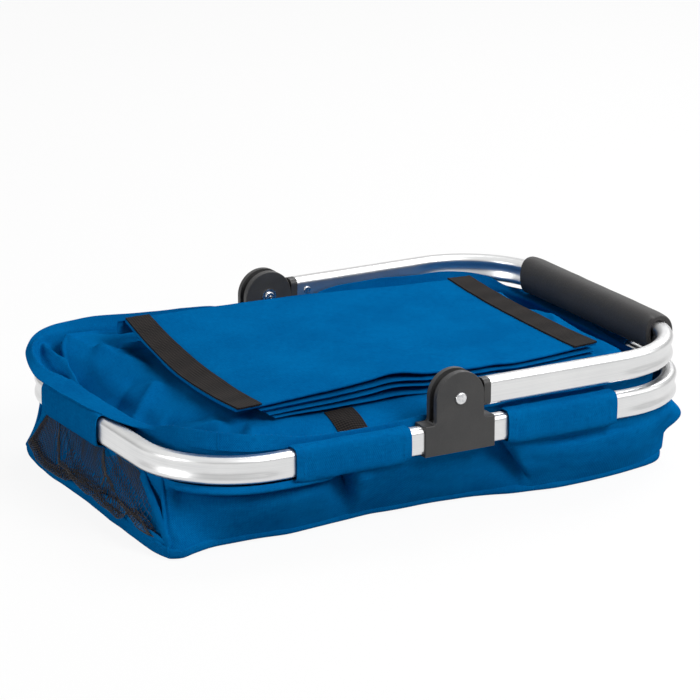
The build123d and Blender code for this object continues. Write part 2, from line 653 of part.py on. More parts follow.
def all_pieces():
    """Every piece by its node name."""
    rim_left, rim_right = rim_tubes()
    near_bracket = bracket()
    near_joiner = joiner()
    near_rivet = pivot_rivet()
    near_washer = washer()
    near_plug = handle_plug()
    near_plug_rivet = plug_rivet()
    wall_near, wall_far, wall_left, wall_right = wall_panels()
    net, pocket_border = mesh_pocket()
    screws = [screw(x, side) for x in (-SCREW_X, SCREW_X) for side in (NEAR, FAR)]
    pieces = {
        "rim_tube_left": rim_left,
        "rim_tube_right": rim_right,
        "rim_joiner_near": near_joiner,
        "rim_joiner_far": other_side(near_joiner),
        "bracket_near": near_bracket,
        "bracket_far": other_side(near_bracket),
        "bracket_screws": Compound(children=screws),
        "pivot_rivet_near": near_rivet,
        "pivot_rivet_far": other_side(near_rivet),
        "pivot_washers": Compound(children=[near_washer, other_side(near_washer)]),
        "handle_tube": handle_tube(),
        "handle_plug_near": near_plug,
        "handle_plug_far": other_side(near_plug),
        "handle_plug_rivets": Compound(children=[near_plug_rivet, other_side(near_plug_rivet)]),
        "grip_foam": grip(),
        "sleeve_left_end": end_sleeve(-1, LEFT_SLEEVE_SHIFT),
        "sleeve_right_end": end_sleeve(1, 0.0),
        "collar_hem": collar(),
        "base_cover": base_plate(0.0, 0.0, BASE_SHEET),
        "base_board": base_plate(BASE_BOARD_MARGIN, BASE_SHEET, BASE_BOARD_THICKNESS),
        "base_lining": base_plate(0.0, BASE_SHEET + BASE_BOARD_THICKNESS, BASE_SHEET),
        "base_binding": base_binding(),
        "wall_near": wall_near,
        "wall_far": wall_far,
        "wall_left_end": wall_left,
        "wall_right_end": wall_right,
        "mesh_pocket": net,
        "pocket_border": pocket_border,
        "lining_fold": lining_fold(),
        "loop_patch_near": loop_patch(NEAR),
        "loop_patch_far": loop_patch(FAR),
        "insert_lower_cover": leaf_cover(LOWER_NEAR_WAVE, LOWER_LEAF_BOTTOM),
        "insert_lower_board": leaf_board(LOWER_NEAR_WAVE, LOWER_LEAF_BOTTOM),
        "insert_spine_tape": spine_tape(),
        "insert_upper_cover": leaf_cover(UPPER_NEAR_WAVE, UPPER_LEAF_BOTTOM),
        "insert_upper_board": leaf_board(UPPER_NEAR_WAVE, UPPER_LEAF_BOTTOM),
        "hook_strip_left": hook_strip(-1),
        "hook_strip_right": hook_strip(1),
    }
    for name, direction in (("left", -1), ("right", 1)):
        near_sleeve = side_sleeve(direction)
        pieces["sleeve_near_" + name] = near_sleeve
        pieces["sleeve_far_" + name] = other_side(near_sleeve)
    return pieces


def main():
    os.makedirs("parts", exist_ok=True)
    for name, shape in all_pieces().items():
        export_step(shape, os.path.join("parts", name + ".step"))


main()
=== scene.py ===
"""Folding shopping basket, packed flat: blue woven bag, aluminium rim and handle, black plastic pivots.

Places are written in millimetres in the part's own frame and turned into metres when a mesh is made.
"""

import bisect
import math

import bpy
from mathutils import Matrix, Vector, noise


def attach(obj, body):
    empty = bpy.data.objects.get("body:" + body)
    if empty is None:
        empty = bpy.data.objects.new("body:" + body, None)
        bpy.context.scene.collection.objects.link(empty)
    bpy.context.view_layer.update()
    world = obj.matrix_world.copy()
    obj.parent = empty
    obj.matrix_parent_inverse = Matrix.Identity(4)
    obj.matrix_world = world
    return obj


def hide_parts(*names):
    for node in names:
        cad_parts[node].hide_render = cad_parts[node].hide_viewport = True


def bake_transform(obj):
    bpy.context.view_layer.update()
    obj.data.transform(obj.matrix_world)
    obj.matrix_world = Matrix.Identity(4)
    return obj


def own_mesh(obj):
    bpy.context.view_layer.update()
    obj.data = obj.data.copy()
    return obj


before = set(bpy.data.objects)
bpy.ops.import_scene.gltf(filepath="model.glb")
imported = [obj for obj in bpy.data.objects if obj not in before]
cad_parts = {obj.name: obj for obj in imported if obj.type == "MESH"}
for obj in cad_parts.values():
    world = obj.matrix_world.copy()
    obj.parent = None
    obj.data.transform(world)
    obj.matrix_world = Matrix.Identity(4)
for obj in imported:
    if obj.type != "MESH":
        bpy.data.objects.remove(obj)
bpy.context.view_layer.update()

MM = 0.001
QUARTER = math.pi / 2

# Rim, handle and pivot places, as the solids have them
TUBE_LINE_Y = 151.75
RIM_END_X = 223.75
RIM_MIDDLE_Z = 63.0
BEND_X, BEND_Y = 152.0, 80.0
BEND_LINE_RADIUS = 71.75
RIM_LINE = (RIM_END_X, TUBE_LINE_Y, BEND_LINE_RADIUS)
HANDLE_BEND_X = 148.0
HANDLE_Z = 93.0

# Collar line, just inside the rim
COLLAR_LINE = COLLAR_HALF_X, COLLAR_HALF_Y, COLLAR_CORNER = 210.2, 142.2, 62.2


# --- small helpers


def clamp(x, low=0.0, high=1.0):
    return min(max(x, low), high)


def ease(x):
    x = clamp(x)
    return x * x * (3 - 2 * x)


def mix(a, b, share):
    return a + (b - a) * share


def hump(x, middle, width):
    """A soft bump, 1 at the middle."""
    return math.exp(-(((x - middle) / width) ** 2))


def belly(share):
    """0 at both ends, 1 halfway."""
    return math.sin(math.pi * share)


def ripple(*place, scale, seed=0.0):
    """Smooth noise from -1 to 1, the same on every run."""
    point = Vector((*place, 0.0, 0.0)[:3]) / scale
    return noise.noise(point + Vector((seed, 1.7 * seed, 0.3 * seed)))


def glide(keys, x):
    """Smooth curve through keys of (place, (values...)), sorted by place."""
    if x <= keys[0][0]:
        return keys[0][1]
    if x >= keys[-1][0]:
        return keys[-1][1]
    i = bisect.bisect_right(keys, x, key=lambda pair: pair[0]) - 1
    before, start = keys[max(i - 1, 0)], keys[i]
    end, after = keys[i + 1], keys[min(i + 2, len(keys) - 1)]
    span = end[0] - start[0]
    t = (x - start[0]) / span
    out = []
    for p, a, b, n in zip(before[1], start[1], end[1], after[1]):
        slope_a = (b - p) / max(end[0] - before[0], 1e-9) * span
        slope_b = (n - a) / max(after[0] - start[0], 1e-9) * span
        out.append(
            (2 * t**3 - 3 * t**2 + 1) * a
            + (t**3 - 2 * t**2 + t) * slope_a
            + (3 * t**2 - 2 * t**3) * b
            + (t**3 - t**2) * slope_b
        )
    return out


def level(steps, values, x):
    """One value of a smooth curve through steps and values."""
    return glide([(step, (value,)) for step, value in zip(steps, values)], x)[0]


LINE_KEYS = {}


def along(points, share):
    """Point at a share of a smooth line through points, by chord length."""
    if id(points) not in LINE_KEYS:
        keys, run = [(0.0, points[0])], 0.0
        for a, b in zip(points, points[1:]):
            run += math.dist(a, b)
            keys.append((run, b))
        LINE_KEYS[id(points)] = (points, keys, run)
    _, keys, run = LINE_KEYS[id(points)]
    return glide(keys, share * run)


def around(q, half_x, half_y, corner, centre=(0.0, 0.0)):
    """Point and outward direction of a rounded outline at station q.

    0 near middle, 1-2 near left corner, 2-3 left end, 3-4 far left corner, 4-6 far side, 6-7 far right
    corner, 7-8 right end, 8-9 near right corner, 9-10 near side back to the middle.
    """
    q = q % 10
    x, y = half_x - corner, half_y - corner
    i, t = int(q), q - int(q)
    s, c = math.sin(t * QUARTER), math.cos(t * QUARTER)
    if i in (1, 3, 6, 8):
        hub = {1: (-x, -y), 3: (-x, y), 6: (x, y), 8: (x, -y)}[i]
        out = {1: (-s, -c), 3: (-c, s), 6: (s, c), 8: (c, -s)}[i]
        place = (hub[0] + corner * out[0], hub[1] + corner * out[1])
    else:
        place, out = {
            0: ((-x * t, -half_y), (0, -1)),
            2: ((-half_x, -y + 2 * y * t), (-1, 0)),
            4: ((-x + x * t, half_y), (0, 1)),
            5: ((x * t, half_y), (0, 1)),
            7: ((half_x, y - 2 * y * t), (1, 0)),
            9: ((x - x * t, -half_y), (0, -1)),
        }[i]
    return (place[0] + centre[0], place[1] + centre[1]), out


LEGS = {}
for line in (RIM_LINE, COLLAR_LINE):
    side, bend, end = line[0] - line[2], line[2] * QUARTER, 2 * (line[1] - line[2])
    lengths = [side, bend, end, bend, side] * 4
    LEGS[line] = lengths, [sum(lengths[:i]) for i in range(20)]


def station(line, share, first, last):
    """Station at an even share of a run along an outline; past 10 it goes on round the near middle."""
    lengths, starts = LEGS[line]
    runs = [starts[int(q)] + (q - int(q)) * lengths[int(q)] for q in (first, last)]
    place = mix(*runs, share)
    i = bisect.bisect_right(starts, place + 1e-9) - 1
    return i + (place - starts[i]) / lengths[i]


# --- meshes


def only(piece):
    bpy.ops.object.select_all(action="DESELECT")
    piece.select_set(True)
    bpy.context.view_layer.objects.active = piece


def finish_with(piece, kind, **settings):
    """Adds a modifier and applies it."""
    modifier = piece.modifiers.new(kind.title(), kind)
    for name, value in settings.items():
        setattr(modifier, name, value)
    only(piece)
    bpy.ops.object.modifier_apply(modifier=modifier.name)


def rounded(piece, levels=1):
    finish_with(piece, "SUBSURF", levels=levels, render_levels=levels)


def smooth_shade(piece, angle):
    only(piece)
    bpy.ops.object.shade_smooth_by_angle(angle=math.radians(angle))


def weld(piece, gap=0.02, face_out=False):
    """Joins points that meet and, on a closed skin, turns the faces outward."""
    only(piece)
    bpy.ops.object.mode_set(mode="EDIT")
    bpy.ops.mesh.select_all(action="SELECT")
    bpy.ops.mesh.remove_doubles(threshold=gap * MM)
    if face_out:
        bpy.ops.mesh.select_all(action="SELECT")
        bpy.ops.mesh.normals_make_consistent(inside=False)
    bpy.ops.object.mode_set(mode="OBJECT")


def closed_skin(piece, gap, angle):
    weld(piece, gap, face_out=True)
    rounded(piece)
    smooth_shade(piece, angle)
    return piece


def cut_sheet(name, columns, rows, place, flat):
    """A flat grid whose points are moved to place(u, v). Its UV map is in metres of cloth."""
    bpy.ops.object.select_all(action="DESELECT")
    bpy.ops.mesh.primitive_grid_add(x_subdivisions=columns, y_subdivisions=rows, size=1)
    piece = bpy.context.object
    piece.name = piece.data.name = name
    for point in piece.data.vertices:
        point.co = Vector(place(point.co.x + 0.5, point.co.y + 0.5)) * MM
    for corner in piece.data.uv_layers[0].data:
        corner.uv = (corner.uv[0] * flat[0] * MM, corner.uv[1] * flat[1] * MM)
    return piece


def sewn(piece, thickness, levels=1, closed=False):
    """Gives a sheet its smooth curve and its thickness."""
    if closed:
        weld(piece)
    if levels:
        rounded(piece, levels)
    finish_with(
        piece, "SOLIDIFY", thickness=thickness * MM, offset=0.0, use_rim=True, use_even_offset=False
    )
    smooth_shade(piece, 60)
    return piece


def cloth_area(piece):
    return sum(face.area for face in piece.data.polygons)


def cut_size(piece, length):
    """Flat size of a two-faced sheet of a given length, in metres."""
    return (length, round(cloth_area(piece) / 2 / length, 4))


def join(name, pieces):
    only(pieces[0])
    for piece in pieces[1:]:
        piece.select_set(True)
    if len(pieces) > 1:
        bpy.ops.object.join()
    piece = bpy.context.object
    piece.name = piece.data.name = name
    return piece


STITCH, STITCH_GAP, STITCH_RADIUS = 2.6, 1.5, 0.62


def stitch_row(name, points):
    """A row of thread stitches along a line of points."""
    bpy.ops.object.select_all(action="DESELECT")
    bpy.ops.mesh.primitive_uv_sphere_add(segments=6, ring_count=5, radius=1)
    stitch = bpy.context.object
    stitch.name = stitch.data.name = name
    bpy.ops.object.mode_set(mode="EDIT")
    bpy.ops.mesh.select_all(action="SELECT")
    bpy.ops.transform.rotate(value=QUARTER, orient_axis="Y", center_override=(0, 0, 0))
    bpy.ops.transform.resize(value=(STITCH / 2 * MM, STITCH_RADIUS * MM, STITCH_RADIUS * MM))
    bpy.ops.transform.translate(value=(STITCH / 2 * MM, 0, 0))
    bpy.ops.object.mode_set(mode="OBJECT")
    line = bpy.data.curves.new(name + "_line", "CURVE")
    line.dimensions = "3D"
    spline = line.splines.new("POLY")
    spline.points.add(len(points) - 1)
    for target, point in zip(spline.points, points):
        target.co = (*(Vector(point) * MM), 1.0)
    guide = bpy.data.objects.new(name + "_line", line)
    bpy.context.scene.collection.objects.link(guide)
    run = sum(math.dist(a, b) for a, b in zip(points, points[1:]))
    finish_with(
        stitch,
        "ARRAY",
        count=max(int(run / (STITCH + STITCH_GAP)), 1),
        use_relative_offset=False,
        use_constant_offset=True,
        constant_offset_displace=((STITCH + STITCH_GAP) * MM, 0, 0),
    )
    finish_with(stitch, "CURVE", object=guide, deform_axis="POS_X")
    bpy.data.objects.remove(guide)
    only(stitch)
    bpy.ops.object.shade_smooth()
    return stitch


# --- materials


def add_node(tree, kind, inputs=None, **settings):
    node = tree.nodes.new("ShaderNode" + kind)
    for name, value in settings.items():
        setattr(node, name, value)
    for name, value in (inputs or {}).items():
        if isinstance(value, bpy.types.NodeSocket):
            tree.links.new(value, node.inputs[name])
        else:
            node.inputs[name].default_value = value
    return node


class Finish:
    """A material under construction."""

    def __init__(self, name):
        self.material = bpy.data.materials.new(name)
        self.material.use_nodes = True
        self.tree = self.material.node_tree
        self.shader = self.tree.nodes["Principled BSDF"]

    def set(self, **values):
        for name, value in values.items():
            self.shader.inputs[name.replace("_", " ")].default_value = value

    def add(self, kind, inputs=None, **settings):
        return add_node(self.tree, kind, inputs, **settings)

    def math(self, operation, a, b=0.5, c=0.5):
        return self.add("Math", {0: a, 1: b, 2: c}, operation=operation).outputs[0]

    def scaled(self, place, scale):
        return self.add("Mapping", {"Vector": place, "Scale": scale}).outputs[0]

    def object_place(self, scale=(1, 1, 1)):
        return self.scaled(self.add("TexCoord").outputs["Object"], scale)

    def cloth_place(self):
        """Place on the flat cloth and its two parts."""
        place = self.add("UVMap", uv_map="UVMap").outputs[0]
        parts = self.add("SeparateXYZ", {0: place}).outputs
        return place, parts[0], parts[1]

    def wave(self, run, pitch):
        return self.math("SINE", self.math("MULTIPLY", run, 2 * math.pi / pitch))

    def grain(self, place, scale, detail=3.0, roughness=0.5):
        inputs = {"Vector": place, "Scale": scale, "Detail": detail, "Roughness": roughness}
        return self.add("TexNoise", inputs).outputs["Fac"]

    def sum(self, a, a_share, b, b_share):
        return self.math("MULTIPLY_ADD", a, a_share, self.math("MULTIPLY", b, b_share))

    def ramp(self, factor, low, high, from_min=0.3, from_max=0.7):
        share = self.add("MapRange", {"Value": factor, "From Min": from_min, "From Max": from_max})
        # 6 and 7 are the colour sockets of the mix
        inputs = {"Factor": share.outputs[0], 6: (*low, 1), 7: (*high, 1)}
        return self.add("Mix", inputs, data_type="RGBA").outputs[2]

    def spread(self, factor, low, high):
        return self.add("MapRange", {"Value": factor, "To Min": low, "To Max": high}).outputs[0]

    def bump(self, height, strength, distance, under=None):
        inputs = {"Height": height, "Strength": strength, "Distance": distance}
        if under is not None:
            inputs["Normal"] = under
        return self.add("Bump", inputs).outputs[0]

    def link(self, name, socket):
        self.tree.links.new(socket, self.shader.inputs[name])


WEAVE_PITCH = 0.0016
TAPE_RIB_PITCH, TAPE_HOOK_PITCH = 0.0024, 0.0021


def woven_blue():
    """Coated polyester with a plain weave of about 0.8 mm."""
    cloth = Finish("blue_woven_cloth")
    place, across, up = cloth.cloth_place()
    threads_over = cloth.math("MULTIPLY", cloth.wave(across, WEAVE_PITCH), cloth.wave(up, WEAVE_PITCH))
    weave = cloth.math("MULTIPLY_ADD", threads_over, 0.5, 0.5)
    room = cloth.object_place()
    slub = cloth.grain(cloth.scaled(place, (150, 1300, 1)), 1.0, 2.0)
    slub_up = cloth.grain(cloth.scaled(place, (1300, 150, 1)), 1.0, 2.0)
    threads = cloth.sum(slub, 0.30, slub_up, 0.30)
    # the weave's height lightens the crowns of the threads and darkens the gaps between them: this is painted
    # highlight and painted shade, added to the threads' own uneven colour
    tone = cloth.math("MULTIPLY_ADD", weave, 0.22, threads)
    tone = cloth.math("MULTIPLY_ADD", cloth.grain(room, 26.0, 3.0), 0.30, tone)
    dark, light = (0.0003, 0.082, 0.272), (0.0008, 0.164, 0.450)
    cloth.link("Base Color", cloth.ramp(tone, dark, light, 0.36, 0.70))
    cloth.link("Roughness", cloth.spread(threads, 0.66, 0.86))
    pucker = cloth.bump(cloth.grain(room, 95.0, 2.0), 0.22, 0.0012)
    cloth.link("Normal", cloth.bump(weave, 0.22, 0.00022, pucker))
    cloth.set(Sheen_Weight=0.02, Sheen_Roughness=0.5, Sheen_Tint=(0.05, 0.55, 1.0, 1), Specular_IOR_Level=0.0)
    return cloth.material


def hook_tape():
    """Hook and loop tape: fine ribs across the tape and a fuzzy, brownish face."""
    tape = Finish("black_hook_tape")
    _, across, up = tape.cloth_place()
    rib, hook = tape.wave(up, TAPE_RIB_PITCH), tape.wave(across, TAPE_HOOK_PITCH)
    rows = tape.math("MULTIPLY_ADD", rib, 0.3, tape.math("MULTIPLY_ADD", hook, 0.2, 0.5))
    fuzz = tape.grain(tape.object_place(), 700.0, 4.0, 0.7)
    tone = tape.sum(rows, 0.55, fuzz, 0.45)
    tape.link("Base Color", tape.ramp(tone, (0.003, 0.0028, 0.003), (0.032, 0.026, 0.024), 0.34, 0.74))
    tape.link("Roughness", tape.spread(fuzz, 0.75, 0.95))
    tape.link("Normal", tape.bump(tone, 0.6, 0.0005))
    tape.set(Sheen_Weight=0.03, Sheen_Roughness=0.6, Specular_IOR_Level=0.08)
    return tape.material


def satin_aluminium():
    """Drawn, satin anodised tube: fine lines along the tube and soft blotches."""
    metal = Finish("satin_aluminium")
    drawn = metal.grain(metal.object_place((7, 7, 1500)), 1.0, 3.0)
    blotch = metal.grain(metal.object_place(), 38.0, 3.0)
    tone = metal.sum(drawn, 0.6, blotch, 0.4)
    metal.link("Base Color", metal.ramp(tone, (0.67, 0.675, 0.68), (0.80, 0.80, 0.795)))
    metal.link("Roughness", metal.spread(tone, 0.26, 0.40))
    metal.link("Normal", metal.bump(drawn, 0.08, 0.0002))
    metal.set(Metallic=1.0)
    return metal.material


def moulded_plastic():
    plastic = Finish("black_moulded_plastic")
    spark = plastic.grain(plastic.object_place(), 1300.0, 2.0)
    wear = plastic.grain(plastic.object_place(), 60.0, 4.0)
    tone = plastic.sum(spark, 0.35, wear, 0.65)
    plastic.link("Base Color", plastic.ramp(tone, (0.030, 0.030, 0.031), (0.052, 0.051, 0.050)))
    plastic.link("Roughness", plastic.spread(wear, 0.38, 0.58))
    plastic.link("Normal", plastic.bump(spark, 0.25, 0.00025))
    plastic.set(Specular_IOR_Level=0.45)
    return plastic.material


def foam():
    skin = Finish("black_foam_skin")
    cells = skin.add("TexVoronoi", {"Vector": skin.object_place(), "Scale": 900.0}).outputs["Distance"]
    cloud = skin.grain(skin.object_place(), 45.0, 4.0)
    tone = skin.sum(cells, 0.5, cloud, 0.6)
    skin.link("Base Color", skin.ramp(tone, (0.016, 0.0155, 0.016), (0.036, 0.034, 0.033)))
    skin.link("Roughness", skin.spread(cloud, 0.55, 0.75))
    skin.link("Normal", skin.bump(cells, 0.25, 0.0003))
    skin.set(Sheen_Weight=0.12, Sheen_Roughness=0.5, Specular_IOR_Level=0.4)
    return skin.material


def plain(name, scale, detail, dark, light, roughness, **values):
    """A finish whose colour and roughness follow one fine grain."""
    finish = Finish(name)
    grain = finish.grain(finish.object_place(), scale, detail)
    finish.link("Base Color", finish.ramp(grain, dark, light))
    finish.link("Roughness", finish.spread(grain, *roughness))
    finish.set(**values)
    return finish.material


BLUE, TAPE, METAL, PLASTIC, FOAM = woven_blue(), hook_tape(), satin_aluminium(), moulded_plastic(), foam()
THREAD = plain(
    "blue_sewing_thread", 1500.0, 1.0, (0.0004, 0.085, 0.275), (0.0012, 0.165, 0.44), (0.45, 0.65),
    Specular_IOR_Level=0.02,
)
NET = plain(
    "black_knitted_net", 420.0, 2.0, (0.006, 0.005, 0.006), (0.034, 0.026, 0.024), (0.5, 0.8),
    Sheen_Weight=0.15, Specular_IOR_Level=0.35,
)
STEEL = plain(
    "bright_rivet_steel", 500.0, 3.0, (0.52, 0.53, 0.55), (0.78, 0.78, 0.78), (0.18, 0.36), Metallic=1.0
)
BOARD = plain("stiff_grey_board", 220.0, 4.0, (0.16, 0.155, 0.145), (0.26, 0.25, 0.235), (0.8, 0.95))


def paint(piece, finish):
    piece.data.materials.clear()
    piece.data.materials.append(finish)


def dress(piece, finish):
    paint(piece, finish)
    return piece


def stand_for(piece, *nodes, **cut):
    """Hides the solids that a piece stands for; how cloth was cut is passed but not used."""
    if nodes:
        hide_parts(*nodes)


def settle(piece, body, *nodes, **cut):
    """Lets a piece ride on a body."""
    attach(piece, body)
    stand_for(piece, *nodes, **cut)


for finish, nodes in (
    (METAL, ("rim_tube_left", "rim_tube_right", "handle_tube", "rim_joiner_near", "rim_joiner_far")),
    (PLASTIC, ("bracket_near", "bracket_far", "handle_plug_near", "handle_plug_far")),
    (STEEL, ("pivot_rivet_near", "pivot_rivet_far", "pivot_washers", "bracket_screws", "handle_plug_rivets")),
    (BOARD, ("base_board", "insert_lower_board", "insert_upper_board")),
):
    for node in nodes:
        paint(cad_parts[node], finish)


# --- bent tubes

TUBE_HALF_WIDTH, TUBE_HALF_HEIGHT, TUBE_EDGE = 6.25, 10.5, 4.5
TUBE_WALL = 1.5
PRESS_DEPTH, PRESS_HALF_HEIGHT, PRESS_RUN_IN = 1.5, 7.0, 14


def tube_outline(count):
    """Points of the flat oval section, as (across, up), by even length."""
    w, h, r = TUBE_HALF_WIDTH - TUBE_EDGE, TUBE_HALF_HEIGHT - TUBE_EDGE, TUBE_EDGE
    legs = [2 * h, r * QUARTER, 2 * w, r * QUARTER] * 2
    hubs = {1: (w, h, 0), 3: (-w, h, 90), 5: (-w, -h, 180), 7: (w, -h, 270)}
    points = []
    for k in range(count):
        run, i = sum(legs) * k / count, 0
        while run > legs[i]:
            run, i = run - legs[i], i + 1
        t = run / legs[i]
        if i in hubs:
            x, y, start = hubs[i]
            turn = math.radians(start + 90 * t)
            points.append((x + r * math.cos(turn), y + r * math.sin(turn)))
        else:
            x, y = w - 2 * w * t, -h + 2 * h * t
            points.append({0: (w + r, y), 2: (x, h + r), 4: (-w - r, -y), 6: (-x, -h - r)}[i])
    return points


def bent_tube(name, start, bend, sign, z):
    """U-bent tube that was pressed in a little where it is bent."""
    outline = tube_outline(56)
    arc = BEND_LINE_RADIUS * QUARTER
    legs = [bend - start, arc, 2 * BEND_Y, arc, bend - start]
    starts = [sum(legs[:i]) for i in range(6)]

    def tube_line(run):
        """Walks from near to far round the right end."""
        i = max(k for k in range(5) if starts[k] <= run + 1e-9)
        t = (run - starts[i]) / legs[i]
        q = 9 - (i - 1) - t
        if i in (0, 4):
            x = mix(start, bend, t if i == 0 else 1 - t)
            q = 10 - x / bend if i == 0 else 5 + x / bend
        return around(q, bend + BEND_LINE_RADIUS, TUBE_LINE_Y, BEND_LINE_RADIUS)

    def place(u, v):
        run = u * starts[5]
        (x, y), out = tube_line(run)
        across, up = outline[int(round(v * len(outline))) % len(outline)]
        press = 0.0
        for first in (1, 3):
            run_in = ease((run - starts[first] + PRESS_RUN_IN) / (2 * PRESS_RUN_IN))
            press += run_in * ease((starts[first + 1] + PRESS_RUN_IN - run) / (2 * PRESS_RUN_IN))
        groove = math.cos(QUARTER * clamp(up / PRESS_HALF_HEIGHT, -1, 1)) ** 2
        across -= math.copysign(PRESS_DEPTH * press * groove, across) if abs(across) > 4 else 0.0
        return sign * (x + out[0] * across), y + out[1] * across, z + up

    tube = cut_sheet(name, 260, len(outline), place, (starts[5], 58))
    weld(tube, face_out=True)
    finish_with(tube, "SOLIDIFY", thickness=TUBE_WALL * MM, offset=-1.0, use_rim=True)
    smooth_shade(tube, 40)
    return dress(tube, METAL)


for name, body, start, bend, sign, height in (
    ("rim_tube_left", "rim", 0.3, BEND_X, -1, RIM_MIDDLE_Z),
    ("rim_tube_right", "rim", 0.3, BEND_X, 1, RIM_MIDDLE_Z),
    ("handle_tube", "handle", 27.0, HANDLE_BEND_X, 1, HANDLE_Z),
):
    tube = bent_tube(name + "_skin", start, bend, sign, height)
    settle(tube, body, name)


# --- base

# Sewn edge of the base on the floor, side by side round the bag
BASE_NEAR = [
    (-231, -137.5), (-222, -140.5), (-210, -136), (-194, -131), (-178, -130.3), (-161, -130.1),
    (-145, -131.5), (-130, -133), (-112, -131), (-94, -128.7), (-75, -126.4), (-57, -124.3),
    (-40, -125.3), (-23, -125.2), (-5, -125), (11, -126.4), (28, -128), (43, -131.5), (58, -136),
    (74, -139), (90, -141.5), (106, -142.5), (126, -141.5), (146, -139.5), (167, -136), (188, -131),
    (200, -125), (207, -116),
]
BASE_RIGHT = [(207, -116), (208.5, -100), (207, -60), (206, 0), (207, 60), (206, 110), (203, 131), (197, 138)]
BASE_FAR = [
    (197, 138), (180, 142), (120, 141), (50, 143), (-20, 141.5), (-90, 143), (-150, 141), (-200, 141),
    (-214, 138.5), (-221, 133),
]
BASE_LEFT = [
    (-221, 133), (-226, 116), (-229.5, 90), (-231, 50), (-231.5, 0), (-233.5, -40), (-234.6, -80),
    (-235.5, -115), (-234, -128), (-231, -137.5),
]
BASE_SIDES = {"near": BASE_NEAR, "right": BASE_RIGHT, "far": BASE_FAR, "left": BASE_LEFT}
# Stations of the rim's corner seams, side by side, in the same turning sense
RIM_SIDES = {"near": (11.78, 8.22), "right": (8.22, 6.78), "far": (6.78, 3.22), "left": (3.22, 1.78)}


def side_out(side, share):
    """Outward direction across the base edge."""
    a, b = (along(BASE_SIDES[side], clamp(share + step)) for step in (-0.004, 0.004))
    run = math.dist(a, b)
    return ((b[1] - a[1]) / run, -(b[0] - a[0]) / run)


def rim_side(side, share):
    """Point and outward direction of the rim's middle line between two corner seams."""
    return around(station(RIM_LINE, share, *RIM_SIDES[side]), *RIM_LINE)


def base_panel():
    """Cloth-covered base, a thin pad."""
    near, far, left, right = BASE_NEAR, BASE_FAR, BASE_LEFT, BASE_RIGHT

    def place(u, v):
        n, f = along(near, u), along(far, 1 - u)
        l, r = along(left, 1 - v), along(right, v)
        point = []
        for i in (0, 1):
            corner = (
                (1 - u) * (1 - v) * near[0][i]
                + u * (1 - v) * near[-1][i]
                + (1 - u) * v * far[-1][i]
                + u * v * far[0][i]
            )
            point.append((1 - v) * n[i] + v * f[i] + (1 - u) * l[i] + u * r[i] - corner)
        # drawn in a little from the sewn edge
        x, y = (-9 + (point[0] + 9) * 0.992, 3 + (point[1] - 3) * 0.988)
        return x, y, 2.6 + 0.25 * ripple(x, y, scale=60)

    panel = cut_sheet("base_panel", 70, 46, place, (430, 272))
    sewn(panel, 3.6)
    finish_with(panel, "BEVEL", width=0.9 * MM, segments=2, limit_method="ANGLE")
    return panel


base_cloth = dress(base_panel(), BLUE)
settle(base_cloth, "base", "base_cover", "base_lining", "base_board", flat=(0.434, 0.276), held="stretched")

BINDING_Z, BINDING_HEIGHT, BINDING_NET_RISE = 0.2, 8.2, 4.2


def binding_height(side, share):
    """The sewn edge stands higher under the net pocket."""
    on_left = ease((share + 0.02) / 0.12) * ease((1.02 - share) / 0.1) if side == "left" else 0.0
    return BINDING_HEIGHT + BINDING_NET_RISE * on_left


# Section of the bound edge: reach past the base's edge in mm, and share of its height
BINDING_PROFILE = [
    (-7.0, 0.03), (-3.0, 0.0), (-0.8, 0.03), (0.5, 0.16), (1.1, 0.4), (1.15, 0.65), (0.8, 0.86),
    (0.25, 0.98), (-0.6, 1.0), (-1.3, 0.94), (-1.6, 0.75), (-2.6, 0.55), (-5.5, 0.5),
]
# Share of the way round at which each side starts: near and far edges are longer
SIDE_STARTS = [0.0, 0.31, 0.5, 0.81, 1.0]


def bound_edge():
    """Turned and stitched edge round the base."""
    count = len(BINDING_PROFILE)

    def place(u, v):
        u = u % 1.0 if u < 1.0 else 0.0
        i = max(k for k in range(4) if SIDE_STARTS[k] <= u + 1e-9)
        side = list(BASE_SIDES)[i]
        share = (u - SIDE_STARTS[i]) / (SIDE_STARTS[i + 1] - SIDE_STARTS[i])
        x, y = along(BASE_SIDES[side], share)
        out = side_out(side, share)
        k = (v * count) % count
        a, b = BINDING_PROFILE[int(k)], BINDING_PROFILE[(int(k) + 1) % count]
        reach, rise = mix(a[0], b[0], k - int(k)), mix(a[1], b[1], k - int(k))
        if reach > -2:
            reach += 0.5 * ripple(x, y, scale=17, seed=3)
        high = binding_height(side, share) + 0.6 * ripple(x, y, scale=23, seed=8)
        return x + out[0] * reach, y + out[1] * reach, BINDING_Z + high * rise

    return closed_skin(cut_sheet("base_binding_strip", 420, count, place, (1390, 32)), 0.05, 60)


binding = dress(bound_edge(), BLUE)
settle(binding, "base", "base_binding")

base_rows = []
for side in BASE_SIDES:
    row = []
    for k in range(121):
        share = 0.006 + 0.988 * k / 120
        x, y = along(BASE_SIDES[side], share)
        out = side_out(side, share)
        row.append((x + out[0] * 0.65, y + out[1] * 0.65, BINDING_Z + 0.74 * binding_height(side, share)))
    base_rows.append(stitch_row("base_stitches_" + side, row))
base_stitches = dress(join("base_stitches", base_rows), THREAD)
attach(base_stitches, "base")


# --- side walls

WALL_LOW, WALL_HIGH = 4.5, 51.2
LEVELS = (4.5, 12, 22, 32, 39, 43, 45.8, 51.2)
